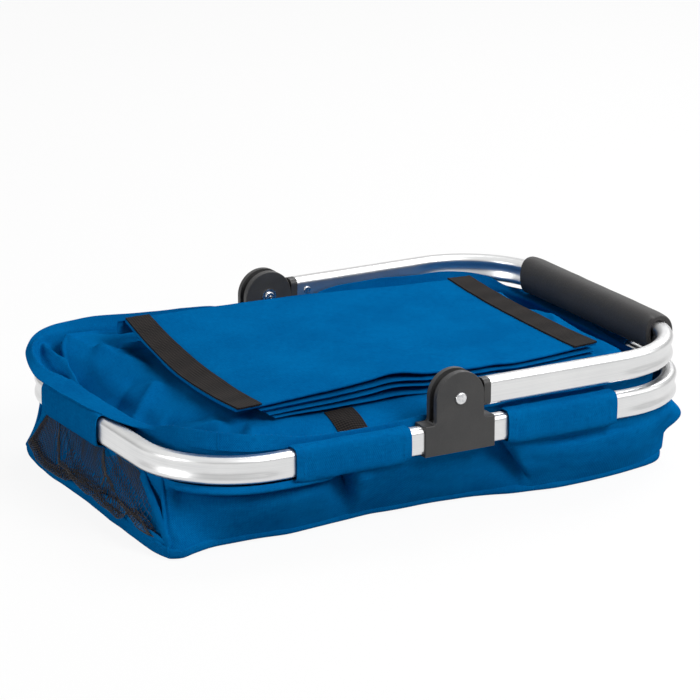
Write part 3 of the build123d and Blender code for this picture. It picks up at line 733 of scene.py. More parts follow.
# How far the near wall stands out from a straight cloth, by place along it and by LEVELS
NEAR_FOLDS = [
    (-235, (0, 1, 2, 2, 1, 0, 1, 0)),
    (-220, (0, 1, 2, 1, -1, -3, -1, 0)),
    (-213, (0, 1, 2, 0, -4, -8, 5, 2)),
    (-190, (0, 2, 4, 4, -1, -7, 8, 3)),
    (-150, (0, 2, 5, 5, 0, -6, 8, 3)),
    (-125, (0, 2, 5, 6, 3, -3, 7, 3)),
    (-106, (0, 2, 4, 4, 0, -5, 4, 2)),
    (-92, (0, 0, -2, -8, -13, -14, -10, -2)),
    (-86, (0, 0, -3, -10, -15, -15, -12, -3)),
    (-82, (0, 2, 5, 6, 6, 5, 4, 1)),
    (-70, (0, 2, 5, 6, 6, 5, 4, 1)),
    (-40, (0, 2, 3, 3, 2, 1, 1, 0)),
    (0, (0, 2, 3, 2, 0, -2, -2, 0)),
    (30, (0, 1, 0, -3, -6, -8, -6, -1)),
    (45, (0, 0, -3, -8, -11, -12, -9, -2)),
    (50, (0, 2, 5, 5, 4, 3, 2, 0)),
    (66, (0, 3, 7, 7, 6, 4, 2, 0)),
    (100, (0, 4, 8, 9, 6, 0, 1, 0)),
    (150, (0, 4, 8, 8, 6, 3, 2, 0)),
    (190, (0, 3, 6, 7, 6, 4, 2, 0)),
    (215, (0, 2, 4, 7, 8, 6, 3, 0)),
    (235, (0, 2, 4, 6, 7, 5, 3, 0)),
]
# Top and foot (x, z) of the two darts along which one part of the near wall laps over the other
DARTS = (((-86, 50), (-77, 17)), ((46, 50), (76, 6)))
DART_HALF_WIDTH, DART_LAP = 9.0, 5.2


def dart(x, z, top, foot, wide, deep):
    """A narrow fold that runs from top (x, z) down to a point at foot (x, z)."""
    share = clamp((z - foot[1]) / (top[1] - foot[1]))
    if share <= 0:
        return 0.0
    return -deep * ease(share * 1.6) * hump(x, mix(foot[0], top[0], share), 0.6 + wide * share)


def dart_shift(x, z):
    """Sideways shift that lets one side of a dart lap over the other."""
    shift = 0.0
    for top, foot in DARTS:
        share = (z - foot[1]) / (top[1] - foot[1])
        t = (x - mix(foot[0], top[0], share)) / DART_HALF_WIDTH
        if share > 0 and abs(t) < 1:
            shift -= DART_LAP * math.sin(math.pi * t) * ease(share * 1.7)
    return shift


def near_spread():
    """Shares of the near wall's length with the columns drawn together at the darts."""
    steps = 2000
    total, marks = 0.0, [0.0]
    for k in range(steps):
        u = (k + 0.5) / steps
        total += 1 + 3.2 * hump(u, 0.268, 0.03) + 3.2 * hump(u, 0.632, 0.04)
        marks.append(total)
    marks = [mark / total for mark in marks]
    return lambda u: max(bisect.bisect_right(marks, u) - 1, 0) / steps if u < 1 else 1.0


def near_fold(x, z):
    slant = 0.0
    if -122 < x < -50:
        slant = (45 - z) * 0.27 * (1 - abs(x + 85) / 36)
    if 20 < x < 95:
        slant = (45 - z) * 0.66 * (1 - abs(x - 54) / 42)
    fold = level(LEVELS, glide(NEAR_FOLDS, x - max(slant, 0)), z)
    fold += dart(x, z, (-88, 50), (-78, 19), 4.5, 6)
    return fold + dart(x, z, (46, 50), (75, 7), 5.0, 9)


def loose_fold(run, z, seed):
    """Soft folds of a wall that nothing pulls straight."""
    share = clamp((z - WALL_LOW) / (WALL_HIGH - WALL_LOW))
    fold = belly(share) * (3.2 + 2.6 * ripple(run, 9.0 * share, scale=42, seed=seed))
    crease = ripple(run + 12 * share, 0.6 * z, scale=26, seed=seed + 5)
    fold += belly(share) * 3.0 * (0.5 - abs(crease)) * 1.4
    fold += 3.2 * hump(z, 46.5, 2.4) * (0.6 + 0.4 * ripple(run, scale=60, seed=seed + 2))
    return fold - 2.0 * hump(z, 41.5, 2.2)


def wall_line(low, high, v):
    """Place between base edge and rim; the wall leans out early."""
    return [mix(low[i], high[i], clamp(v + 0.15 * belly(v))) for i in (0, 1)]


def wall(side, columns, seed):
    spread = near_spread() if side == "near" else None

    def place(u, v):
        u = spread(u) if spread else u
        v = 1 - (1 - v) ** 1.3
        z = mix(WALL_LOW, WALL_HIGH, v)
        high, rim_out = rim_side(side, u)
        x, y = wall_line(along(BASE_SIDES[side], u), high, v)
        foot_out = side_out(side, u)
        out = Vector([foot_out[i] * (1 - v) + rim_out[i] * v for i in (0, 1)]).normalized()
        if side == "near":
            fold = near_fold(x, z) - 5.5 * belly(v)
        elif side == "left":
            fold = -2.5 * belly(v) + 1.2 * ripple(y, z, scale=24, seed=seed) * belly(v)
        else:
            fold = loose_fold(x if side == "far" else y, z, seed) - 3.0 * belly(v)
        fold *= ease(u / 0.03) * ease((1 - u) / 0.03) * 0.85 + 0.15
        fold += 0.5 * ripple(x, y, 1.6 * z, scale=11, seed=seed + 1) * belly(v)
        # a fold of slack cloth pokes out below the rim at the near right corner
        if side == "right":
            fold += 17 * hump(u, 0.10, 0.045) * hump(z, 30, 7.5)
        if side == "near":
            fold += 11 * hump(u, 0.985, 0.02) * hump(z, 33, 9)
        shift = dart_shift(x, z) if side == "near" else 0.0
        return x + out[0] * fold + shift, y + out[1] * fold, z

    length = 470 if side in ("near", "far") else 290
    return dress(sewn(cut_sheet("wall_cloth_" + side, columns, 34, place, (length, 60)), 1.0), BLUE)


def hang(piece, *nodes, **cut):
    """Bakes a piece's place into its mesh, leaves it on no body and hides the solids it stands for."""
    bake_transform(piece)
    stand_for(piece, *nodes, **cut)


for side, node, columns, length, seed in (
    ("near", "wall_near", 230, 0.48, 11),
    ("right", "wall_right_end", 110, 0.30, 18),
    ("far", "wall_far", 150, 0.48, 25),
    ("left", "wall_left_end", 90, 0.30, 32),
):
    sheet = wall(side, columns, seed)
    hang(sheet, node, flat=cut_size(sheet, length), held="folded", rests_on=["base_panel"])


# --- net pocket on the left end

NET_LONG, NET_DEEP, NET_PITCH, NET_THREAD = 300.0, 78.0, 3.1, 0.54
NET_TOP = 50.5
LEFT_FOOT = sorted((y, (x,)) for x, y in BASE_LEFT)
# Creases along which the net is folded on itself, as (y, z), and half the width of each fold
NET_RIDGES = [
    [(58, 50), (47, 36), (38, 25), (2, 18), (-48, 18), (-90, 14)],
    [(-20, 50), (-38, 37), (-68, 28), (-104, 19), (-132, 11)],
]
NET_FOLD_WIDTHS = (12.0, 11.0)
NET_FOOT_Y = (-140, -90, -48, -15, 25, 75, 110, 140)
NET_FOOT_Z = (10, 14, 17, 12, 8, 7, 14, 12)
# Share of the way down the net: how far it stands out, and how far down it hangs
NET_SLUMP = [
    (0.0, (2.2, 0.0)), (0.22, (3.0, 0.26)), (0.5, (5.0, 0.60)), (0.66, (7.0, 0.84)),
    (0.76, (6.0, 0.93)), (0.86, (3.6, 0.84)), (0.93, (2.6, 0.86)), (1.0, (1.8, 1.0)),
]


def left_wall_x(y, z):
    """Where the left end wall stands."""
    foot = glide(LEFT_FOOT, y)[0]
    past = max(abs(y) - BEND_Y, 0)
    top = -BEND_X - math.sqrt(max(BEND_LINE_RADIUS**2 - past**2, 0))
    return mix(foot, top, clamp((z - WALL_LOW) / (WALL_HIGH - WALL_LOW)))


def net_edge(z, side):
    """End of the net at a height: it follows the slanted corner seam at the near (-1) or far (1) side."""
    return side * (BEND_Y + (1.28 if side < 0 else 1.12) * (50 - z))


def net_foot(y):
    return level(NET_FOOT_Y, NET_FOOT_Z, y)


def net_fold(y, z):
    """Folds the net back on itself along its creases, and says how far each layer stands out."""
    stand = 0.0
    for line, wide in zip(NET_RIDGES, NET_FOLD_WIDTHS):
        best = None
        for i, (a, b) in enumerate(zip(line, line[1:])):
            run = Vector((b[0] - a[0], b[1] - a[1]))
            share = clamp(((y - a[0]) * run.x + (z - a[1]) * run.y) / run.length_squared)
            near = Vector(a) + run * share
            gap = math.dist(near, (y, z))
            if best is None or gap < best[0]:
                best = (gap, near, run.normalized(), (i + share) / (len(line) - 1))
        gap, near, run, way = best
        across = Vector((-run.y, run.x))
        off = (Vector((y, z)) - near).dot(across)
        if gap < wide:
            hold = ease((1 - way) / 0.1) * ease(0.3 + way / 0.2)
            shift = -0.58 * wide * math.sin(math.pi * off / wide) * hold
            y, z = y + across.x * shift, z + across.y * shift
            stand += (4.2 * (1 - (gap / wide) ** 2) - 1.3 * off / wide) * hold
    return y, z, stand


def net_pocket():
    """Knitted net with diamond holes, hung from the rim and slumped into folds."""
    cells = int((NET_LONG + 2 * NET_DEEP) / math.sqrt(2) / NET_PITCH)

    def lay(u, v):
        i, j = u * cells, v * cells
        return ((i + j) * NET_PITCH / math.sqrt(2) - NET_DEEP, (i - j) * NET_PITCH / math.sqrt(2), 0.0)

    net = cut_sheet("net_pocket", cells, cells, lay, (NET_LONG, NET_LONG))
    only(net)
    bpy.ops.object.mode_set(mode="EDIT")
    bpy.ops.mesh.select_mode(type="VERT")
    bpy.ops.mesh.select_all(action="DESELECT")
    bpy.ops.object.mode_set(mode="OBJECT")
    for point in net.data.vertices:
        s, t = point.co.x / MM, point.co.y / MM
        point.select = not (0 <= t <= NET_DEEP and 0 <= s <= NET_LONG)
    bpy.ops.object.mode_set(mode="EDIT")
    bpy.ops.mesh.delete(type="VERT")
    bpy.ops.object.mode_set(mode="OBJECT")
    for point in net.data.vertices:
        s, t = point.co.x / MM / NET_LONG, point.co.y / MM / NET_DEEP
        out, down = glide(NET_SLUMP, t)
        z = mix(NET_TOP, net_foot(mix(-120, 120, s)), down)
        y = mix(net_edge(z, -1), net_edge(z, 1), s)
        y, z, stand = net_fold(y, z)
        z = clamp(z + 1.2 * ripple(y, 40 * t, scale=14, seed=4), 5.5, 51.5)
        out += stand * belly(clamp(t * 0.9 + 0.1)) + 1.1 * ripple(y, 30 * t, scale=11, seed=9)
        hold = ease(min(s, 1 - s) / 0.04)
        x = left_wall_x(y, z) - max(1.6, mix(1.8, out, hold))
        point.co = Vector((x, y, z)) * MM
    area = cloth_area(net)
    finish_with(net, "WIREFRAME", thickness=NET_THREAD * MM, use_even_offset=False, use_boundary=True)
    only(net)
    bpy.ops.object.shade_smooth()
    return dress(net, NET), area


net, net_area = net_pocket()
hang(net, "mesh_pocket")
# the area counts the net's threads without the holes, and is not used
round(cloth_area(net) / 2, 5)


def piping(name, path, wide, thick, out, columns, seed=0.0, swell=0.0):
    """A sewn, softly filled edge along a line of points; out says which way it faces."""

    def place(u, v):
        middle = Vector(along(path, u))
        run = (Vector(along(path, clamp(u + 0.01))) - Vector(along(path, clamp(u - 0.01)))).normalized()
        side = run.cross(Vector(out).normalized()).normalized()
        face = side.cross(run)
        turn = 2 * math.pi * v
        fill = 1 + swell * ripple(u * 160, scale=22, seed=seed)
        end = math.sqrt(clamp(min(u, 1 - u) * 24, 0.02, 1.0))
        point = middle + side * (wide / 2 * fill * math.cos(turn) * end)
        return point + face * (thick / 2 * fill * math.sin(turn) * end)

    return closed_skin(cut_sheet(name, columns, 14, place, (wide * 2, 40)), 0.01, 70)


def pocket_border():
    """Blue edge round the net: two slanted sides and a low band along the foot."""

    def path(places, stand):
        return [(left_wall_x(y, z) - stand, y, z) for y, z in places]

    pieces = []
    for sign in (-1, 1):
        line = path([(net_edge(z, sign) + 2.5 * sign, z) for z in (50, 44, 36, 28, 20, 12, 8)], 1.4)
        pieces.append(piping("pocket_side", line, 6.5, 3.4, (-0.85, 0.5 * sign, 0.2), 60, 3 * sign, 0.2))
    line = path([(y, net_foot(y) + 0.5) for y in range(-132, 127, 12)], 2.6)
    pieces.append(piping("pocket_foot", line, 6, 3.0, (-0.95, 0, 0.3), 90, 5, 0.3))
    return join("pocket_edge", pieces)


border = dress(pocket_border(), BLUE)
hang(border, "pocket_border")

# Piped seams where the side walls meet at the corners
seams = []
for number, (side, (_, q)) in enumerate(RIM_SIDES.items()):
    foot = BASE_SIDES[side][-1]
    head, out = around(q, *RIM_LINE)
    path = []
    for k in range(9):
        x, y = wall_line(foot, head, k / 8)
        path.append((x + 0.8 * out[0], y + 0.8 * out[1], mix(5.5, WALL_HIGH, k / 8)))
    seams.append(piping("corner_seam", path, 3.0, 3.0, (*out, 0.2), 40, number))
corner_seams = dress(join("corner_seams", seams), BLUE)
hang(corner_seams)


# --- sleeves on the rim

SLEEVE_OUT, SLEEVE_IN, SLEEVE_UP, SLEEVE_Z = 8.0, 7.0, 13.2, 61.9
SLEEVE_ROW = 6.0


def sleeve_point(axis, side, first, last, seed):
    def place(u, v):
        run = mix(first, last, u)
        turn = 2 * math.pi * v + math.pi
        c, s = math.cos(turn), math.sin(turn)
        out = (SLEEVE_OUT if c > 0 else SLEEVE_IN) * math.copysign(abs(c) ** 0.5, c)
        up = SLEEVE_UP * math.copysign(abs(s) ** 0.5, s)
        edge = min(run - first, last - run)
        hem = 0.45 * (1 - ease((edge - 6.5) / 1.5))
        crease = 0.55 * ripple(run, 13 * c, 13 * s, scale=15, seed=seed) * ease(edge / 6)
        crease += 0.35 * ripple(run, 13 * c, 13 * s, scale=6, seed=seed + 2)
        out += (hem + crease) * c
        up += (0.6 * hem + crease * 0.6) * s
        if s < 0:
            up -= s * 2.2 * (1 - ease(edge / 10)) - 0.7 * ripple(run, scale=30, seed=seed + 4) * -s
        if axis == "x":
            return (run, side * (TUBE_LINE_Y + out), SLEEVE_Z + up)
        return (side * (RIM_END_X + out), run, SLEEVE_Z + up)

    return place


sleeve_rows = []
for name, axis, side, first, last, half in (
    ("sleeve_near_left", "x", -1, -138, -42, "rim_tube_left"),
    ("sleeve_near_right", "x", -1, 42, 138, "rim_tube_right"),
    ("sleeve_far_left", "x", 1, -138, -42, "rim_tube_left"),
    ("sleeve_far_right", "x", 1, 42, 138, "rim_tube_right"),
    ("sleeve_left_end", "y", -1, -18, 78, "rim_tube_left"),
    ("sleeve_right_end", "y", 1, -48, 48, "rim_tube_right"),
):
    length = last - first
    place = sleeve_point(axis, side, first, last, 2.0 * len(sleeve_rows) + 1)
    tunnel = dress(sewn(cut_sheet(name + "_cloth", 64, 32, place, (length, 76)), 0.9, closed=True), BLUE)
    settle(tunnel, "rim", name, flat=(length * MM, 0.078), held="stretched", rests_on=[half])
    for share in (SLEEVE_ROW / length, 1 - SLEEVE_ROW / length):
        row = [place(share, 0.5 + k * 0.25 / 20) for k in range(-20, 21)]
        sleeve_rows.append(stitch_row("sleeve_row", row))
sleeve_stitches = dress(join("sleeve_stitches", sleeve_rows), THREAD)
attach(sleeve_stitches, "rim")


# --- collar inside the rim

# Station: reach and height of the hem line, then of the free edge; the hem turns outward over the left end
COLLAR = [
    (0, (0, 79, 0.6, 72)), (0.2, (0, 78, 0.8, 72)), (0.27, (0, 77, 1, 70)), (0.68, (0, 76.5, 1.2, 70)),
    (0.89, (0, 79.5, 1.4, 72)), (1, (0, 83.5, 1.5, 73)), (1.5, (-0.5, 88, 1.7, 75)),
    (1.74, (-3, 86.5, -1.8, 75)), (1.88, (-4.6, 85, -3.8, 75.5)), (2, (-4.6, 81.5, -3.4, 75.5)),
    (2.08, (-3, 77.3, -1, 75)), (2.19, (0, 76.2, 9, 75.4)), (2.34, (0, 75, 15, 75.8)),
    (2.5, (0, 74.8, 19, 75.8)), (2.75, (0, 74.6, 21.5, 75.6)), (2.82, (0, 75, 22, 75.7)),
    (2.95, (6, 78.5, 23, 76.5)), (3.08, (14, 82, 24, 79)), (3.2, (18.5, 88, 25, 84)),
    (3.3, (19, 92, 25, 89)), (3.45, (15.5, 92.5, 21.5, 95)), (3.6, (11, 91, 17, 97)),
    (3.8, (6, 89, 11, 97.5)), (4, (3, 87.5, 7, 97.5)), (4.19, (0.5, 86, 2, 96.5)),
    (4.5, (0, 84.5, 0.5, 94.5)), (4.71, (0, 82, 0, 90)), (4.78, (0, 72, 0, 76.5)),
    (5.22, (0, 72, 0, 76.5)), (5.29, (0, 82, 0, 90)), (5.59, (0, 84, 0.3, 94)), (6, (0, 83, 0.3, 92)),
    (6.3, (0, 82, 1.5, 91)), (6.5, (0, 79.5, 1.5, 88)), (6.68, (0, 77, 2, 81)),
    (6.8, (0, 75.4, 14, 76.2)), (7.1, (0, 75, 15, 75.8)), (7.4, (0, 74.5, 10, 75.6)),
    (7.7, (0, 73, 3, 75.3)), (8, (0, 70, 0.3, 75.3)), (8.5, (0, 73, 0.3, 79)), (9, (0, 72, 0.3, 77)),
    (9.7, (0, 74, 0.3, 77)), (9.85, (0, 78, 0.6, 72)), (10, (0, 79, 0.6, 72)),
]
# Station: share, reach and height of the fold that bulges inward below the hem at the far left corner
COLLAR_BULGE = [
    (2.78, (0, 0, 75)), (2.9, (1, -0.5, 78.5)), (3.0, (1, -2, 84)), (3.08, (1, -3, 87.5)), (3.18, (1, 1, 89)),
    (3.3, (1, 8, 90.5)), (3.42, (0.6, 12, 91.5)), (3.5, (0, 12, 92)),
]
COLLAR_FOOT_Z = 50.5
# The turned-out part of the hem, which the grip squashes when the handle lies over it
COLLAR_SPLIT_Z = 74.3
FLARE_FIRST, FLARE_LAST = 2.82, 4.74
HEM_ROW_SHARE, HEM_SEAM_STATION = 0.72, 1.42


def collar_point(q, v):
    """Point of the collar cloth: v runs from its sewn foot over the hem line to the free edge."""
    reach_b, z_b, reach_c, z_c = glide(COLLAR, q % 10)
    bulge, reach_a, z_a = glide(COLLAR_BULGE, q % 10)
    reach_a = mix(0.72 * reach_b, reach_a, bulge)
    z_a = mix(mix(COLLAR_FOOT_Z, z_b, 0.78), z_a, bulge)
    trough = ease((reach_b - reach_a - 4) / 8)
    half_reach = mix(0.5 * reach_b, 0.6 * reach_a, bulge)
    half_z = mix(COLLAR_FOOT_Z, mix(z_b, z_a, bulge), 0.6)
    turned = clamp((z_b - z_c + 4) / 10)
    knee_z = mix(mix(z_b, z_c, 0.5), max(z_b, z_c), 0.5 * turned)
    valley_z = mix(mix(z_a, z_b, 0.5), min(z_a, z_b) - 7.5 * trough, bulge)
    section = [
        (0.0, (0.0, COLLAR_FOOT_Z)),
        (0.3, (half_reach, half_z)),
        (0.46, (reach_a, z_a)),
        (0.58, (mix(reach_a, reach_b, 0.66), valley_z)),
        (0.68, (reach_b, z_b)),
        (0.84, (mix(reach_b, reach_c, 0.5), knee_z)),
        (1.0, (reach_c, z_c)),
    ]
    reach, z = glide(section, v)
    (x, y), out = around(q, *COLLAR_LINE)
    wave = 0.7 * ripple(x, y, 30 * v, scale=19, seed=6) + 0.35 * ripple(x, y, 30 * v, scale=7, seed=7)
    reach += wave * ease(v / 0.3) * (0.5 if abs(y) > 140 else 1.0)
    if q % 10 < 2.15 or q % 10 > 3.0:
        z += 0.8 * ripple(x, y, scale=31, seed=2) * ease((v - 0.5) / 0.5)
    return (x + out[0] * reach, y + out[1] * reach, z)


def split_share(q):
    """Share of the collar's cross section at which it reaches the split height."""
    low, high = 0.0, 0.66
    for _ in range(18):
        middle = (low + high) / 2
        if collar_point(q, middle)[2] < COLLAR_SPLIT_Z:
            low = middle
        else:
            high = middle
    return low


def collar_sheet(name, columns, rows, first, last, part="whole"):
    """The collar between two stations: whole, or only its foot or flare, below or above the split."""
    ends = {}

    def place(u, v):
        q = station(COLLAR_LINE, u, first, last)
        if q not in ends:
            split = split_share(q)
            ends[q] = {"whole": (0.0, 1.0), "foot": (0.0, split), "flare": (split, 1.0)}[part]
        return collar_point(q, mix(*ends[q], v))

    sheet = cut_sheet(name, columns, rows, place, (1306 * (last - first) / 10, 44))
    return dress(sewn(sheet, 1.0), BLUE)


def hem_row(name, count, first, last):
    stations = [station(COLLAR_LINE, k / count, first, last) for k in range(count + 1)]
    return dress(stitch_row(name, [collar_point(q, HEM_ROW_SHARE) for q in stations]), THREAD)


def squash_under_grip(piece):
    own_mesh(piece)


collar = collar_sheet("collar_cloth", 300, 22, FLARE_LAST, 10 + FLARE_FIRST)
settle(collar, "rim", "collar_hem", flat=cut_size(collar, 1.05), held="stretched")
collar_foot = collar_sheet("collar_cloth_foot", 90, 12, FLARE_FIRST, FLARE_LAST, "foot")
settle(collar_foot, "rim", "collar_hem", flat=cut_size(collar_foot, 0.24), held="stretched")
flare = collar_sheet("collar_cloth_flare", 90, 16, FLARE_FIRST, FLARE_LAST, "flare")
settle(flare, "rim", "collar_hem", flat=cut_size(flare, 0.25), held="folded")
squash_under_grip(flare)

collar_stitches = hem_row("collar_stitches", 400, FLARE_LAST, 10 + FLARE_FIRST)
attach(collar_stitches, "rim")
flare_stitches = hem_row("flare_stitches", 120, FLARE_FIRST, FLARE_LAST)
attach(flare_stitches, "rim")
squash_under_grip(flare_stitches)

hem_path = []
seam_out = around(HEM_SEAM_STATION, *COLLAR_LINE)[1]
for k in range(9):
    x, y, z = collar_point(HEM_SEAM_STATION, 0.66 + 0.33 * k / 8)
    hem_path.append((x + 0.45 * seam_out[0], y + 0.45 * seam_out[1], z + 0.2))
hem_seam = dress(piping("hem_seam", hem_path, 1.7, 1.1, (-0.6, -0.7, 0.3), 30), BLUE)
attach(hem_seam, "rim")


# --- insert

INSERT_X = (-154.5, 160.5)
INSERT_Y = (-95.0, 105.0)
LOWER_X = (-130.0, 158.5)
# Heights of the upper leaf's near and far edge by place along them
NEAR_X = (-155, -138, -100, -66, -41, -19, 11, 60, 110, 146, 161)
NEAR_TOP = (90.5, 91, 93, 95, 97, 99.5, 94.5, 92, 92, 94.5, 95)
FAR_X = (-155, -148, -75, 0, 100, 164)
FAR_TOP = (106, 106, 105, 103.5, 98.5, 95.5)


def insert_share(y):
    """Share of the way from the insert's near edge to its far edge."""
    return (y - INSERT_Y[0]) / (INSERT_Y[1] - INSERT_Y[0])


def leaf_top(x, y):
    """Height of the upper leaf's face."""
    share = clamp(insert_share(y), -0.05, 1.05)
    z = mix(level(NEAR_X, NEAR_TOP, x), level(FAR_X, FAR_TOP, x), share)
    z -= belly(clamp(share)) * (1.6 * hump(x, 10, 120) + 9.0 * hump(x, -165, 42))
    crease = (x - 6) * 0.9 + (y + 38)
    z += (1.3 * hump(crease, 0, 9) - 0.7 * hump(crease, 17, 10)) * hump(y, -45, 75)
    return z + 0.5 * ripple(x, y, scale=38, seed=5) + 0.2 * ripple(x, y, scale=13, seed=6)


def lower_top(x, y):
    """Height of the lower leaf, which lies flatter than the upper one."""
    flat_z = mix(84.5, 96.0, clamp(insert_share(y)))
    return mix(flat_z, leaf_top(x, y) - 4.6, 0.72)


def skew(x, y):
    """The far edge of the upper leaf lies a little further right than its near edge."""
    share = clamp(insert_share(y))
    right = 5.5 * ease((x - 20) / 140) * share**1.5 - 2.5 * belly(share) * ease((x - 60) / 100)
    return right + 6.5 * ease((-20 - x) / 125) * share**2


def leaf(name, drop, thickness, near_edge, flat, near_wave=None, ends=INSERT_X):
    def place(u, v):
        x = mix(*ends, u)
        y = mix(near_edge, INSERT_Y[1], v)
        if near_wave:
            y -= near_wave(x) * (1 - v)
        z = leaf_top(x, y) - drop(x, y)
        x += 0.8 * ripple(y, scale=31, seed=4) * abs(2 * u - 1) + skew(x, y)
        y += 0.7 * ripple(x, scale=37, seed=3) * abs(2 * v - 1)
        return x, y, z

    sheet = sewn(cut_sheet(name, 96, 60, place, flat), thickness, 0)
    finish_with(sheet, "BEVEL", width=min(0.9, 0.35 * thickness) * MM, segments=2, limit_method="ANGLE")
    smooth_shade(sheet, 60)
    return dress(sheet, BLUE)


upper = leaf("insert_upper_leaf", lambda x, y: 1.3, 2.4, INSERT_Y[0], (315, 200))
settle(
    upper, "leaf", "insert_upper_cover", "insert_upper_board",
    flat=(0.315, 0.200), held="laid", rests_on=["insert_lower_leaf"]
)


def low_drop(extra, opening):
    """Drop from the upper leaf's face to a layer of the lower leaf, whose cloth opens at the near edge."""

    def drop(x, y):
        near = (1 - clamp(insert_share(y))) ** 3
        return leaf_top(x, y) - lower_top(x, y) + extra + opening(x) * near

    return drop


def lip(number, extra, opening, edge, start):
    """One loose cloth layer of the lower leaf."""

    def gape(x):
        return opening * (1 + 0.35 * ripple(x, scale=52, seed=2 + number)) * (0.6 + 0.8 * hump(x, -15, 70))

    def wave(x):
        return 1.8 * ripple(x, scale=55, seed=7 + number)

    return leaf("lower_lip", low_drop(extra, gape), 0.7, edge, (305, 200), wave, (start, LOWER_X[1]))


board_drop = low_drop(1.0, lambda x: 0.6 * ripple(x, scale=70, seed=9))
lower_parts = [leaf("insert_lower_leaf", board_drop, 2.0, -94.0, (305, 200), ends=LOWER_X)]
for number, layer in enumerate(
    ((-0.4, 0.3, -96.5, -134), (2.6, 1.4, -97.5, -128), (3.6, 4.4, -99.0, -124))
):
    lower_parts.append(lip(number, *layer))
lower = join("insert_lower_leaf", lower_parts)
settle(
    lower, "insert", "insert_lower_cover", "insert_lower_board",
    flat=(0.305, 0.800), held="folded", rests_on=["lining_cloth"]
)


def spine_tape():
    """Cloth tape that hinges the two leaves along their far edge."""

    def place(u, v):
        x = mix(INSERT_X[0] + 1, INSERT_X[1] - 1, u)
        top = leaf_top(x, INSERT_Y[1]) - 0.4
        low = lower_top(x, INSERT_Y[1]) - 5.0
        turn = math.pi * v
        middle, half = (top + low) / 2, (top - low) / 2
        return x, 104.6 + 2.3 * math.sin(turn) + 0.2 * ripple(x, scale=20), middle - half * math.cos(turn)

    return dress(sewn(cut_sheet("insert_spine", 80, 14, place, (312, 20)), 0.8), BLUE)


spine = spine_tape()
settle(
    spine, "insert", "insert_spine_tape",
    flat=cut_size(spine, 0.313), held="folded", rests_on=["insert_lower_leaf"]
)


def hook_strip(name, x_first, x_last, seed):
    """Woven tape with frayed cut ends."""

    def place(u, v):
        y = mix(-96.2, 105.6, v)
        x = mix(x_first, x_last, u) + 0.5 * ripple(y, scale=33, seed=seed)
        fray = 0.9 * ripple(x, scale=1.3, seed=seed + 5) * (hump(v, 0, 0.015) + hump(v, 1, 0.015))
        rib = 0.12 * math.sin(2 * math.pi * y / 2.6)
        return x + skew(x, y), y + fray, leaf_top(x, y) + 0.35 + rib + 0.25 * hump(abs(2 * u - 1), 1, 0.1)

    return dress(sewn(cut_sheet(name, 18, 230, place, (abs(x_last - x_first), 202)), 1.3, 0), TAPE)


for name, x_first, x_last, seed in (
    ("hook_strip_left", -153.5, -133.0, 1),
    ("hook_strip_right", 139.5, 160.0, 2),
):
    strip = hook_strip(name + "_tape", x_first, x_last, seed)
    settle(strip, "leaf", name, flat=(0.0205, 0.2018), held="laid", rests_on=["insert_upper_leaf"])


# --- lining heaped under the insert

# Station: heights at LINING_STEPS of the way from the collar to the insert's outline
LINING_STEPS = (0.0, 0.04, 0.12, 0.3, 0.5, 0.75, 1.0)
LINING = [
    (0.0, (52, 57, 63, 67, 72.5, 76.5, 77.5)),
    (0.5, (52, 58, 64, 68, 73, 76.2, 76.5)),
    (0.66, (52, 56, 61, 65, 70, 76, 76)),
    (0.78, (52, 54, 57, 60, 66, 76, 76)),
    (0.98, (52, 54, 56, 58, 65, 76, 76)),
    (1.12, (52, 55, 60, 66, 71, 76, 76)),
    (1.35, (52, 54, 57, 62, 67, 72, 76)),
    (1.7, (52, 54, 57, 61, 66, 73, 77)),
    (2.1, (52, 54, 57, 61, 67, 75, 79)),
    (2.5, (52, 54, 57, 62, 70, 77, 81)),
    (2.75, (52, 55, 59, 66, 76, 81, 82)),
    (2.95, (52, 58, 63, 72, 80, 83, 83)),
    (3.12, (52, 70, 74, 80, 83, 84, 84)),
    (3.3, (52, 84, 86, 86, 84, 82, 84)),
    (3.5, (52, 88, 89, 88, 85, 82, 86)),
    (3.8, (52, 86, 87, 86, 84, 84, 88)),
    (4.2, (52, 83, 84, 83, 82, 84, 88)),
    (4.6, (52, 76, 79, 80, 82, 85, 88)),
    (5.0, (52, 60, 66, 74, 80, 84, 88)),
    (6.0, (52, 58, 64, 72, 79, 83, 85)),
    (6.5, (52, 59, 66, 73, 80, 81, 84)),
    (7.1, (52, 58, 64, 77, 80, 78, 83)),
    (7.9, (52, 56, 60, 79, 81, 77, 80)),
    (8.5, (52, 56, 60, 69, 74, 76, 79)),
    (9.1, (52, 57, 62, 67.5, 73, 76.5, 77)),
    (10.0, (52, 57, 63, 67, 72.5, 76.5, 77.5)),
]
# Creases in the loose lining: from, to, height, and width on its left and right
CREASES = [
    ((-196, 131), (-174, 90), 6.0, 13.0, 7.0),
    ((-174, 90), (-152, 58), 6.0, 13.0, 8.0),
    ((-180, 122), (-156, 108), -5.0, 9.0, 9.0),
    ((-203, -14), (-168, 14), 7.0, 12.0, 7.0),
    ((-196, 30), (-172, 44), -4.5, 9.0, 9.0),
    ((-188, -58), (-162, -84), 6.0, 6.0, 9.0),
    ((-180, -36), (-160, -56), -5.0, 8.0, 8.0),
    ((200, 118), (166, 48), 6.0, 6.0, 12.0),
    ((196, 30), (168, -30), 3.5, 8.0, 6.0),
    ((-30, -132), (10, -104), 1.4, 5.0, 9.0),
    ((60, -134), (95, -106), 3.0, 5.0, 9.0),
    ((-110, 128), (-60, 112), 3.0, 6.0, 8.0),
]
HEAP_MIDDLE = (3, 5)
# Share of the lining's rows that lie outside the insert's edge
EDGE_ROW = 0.74


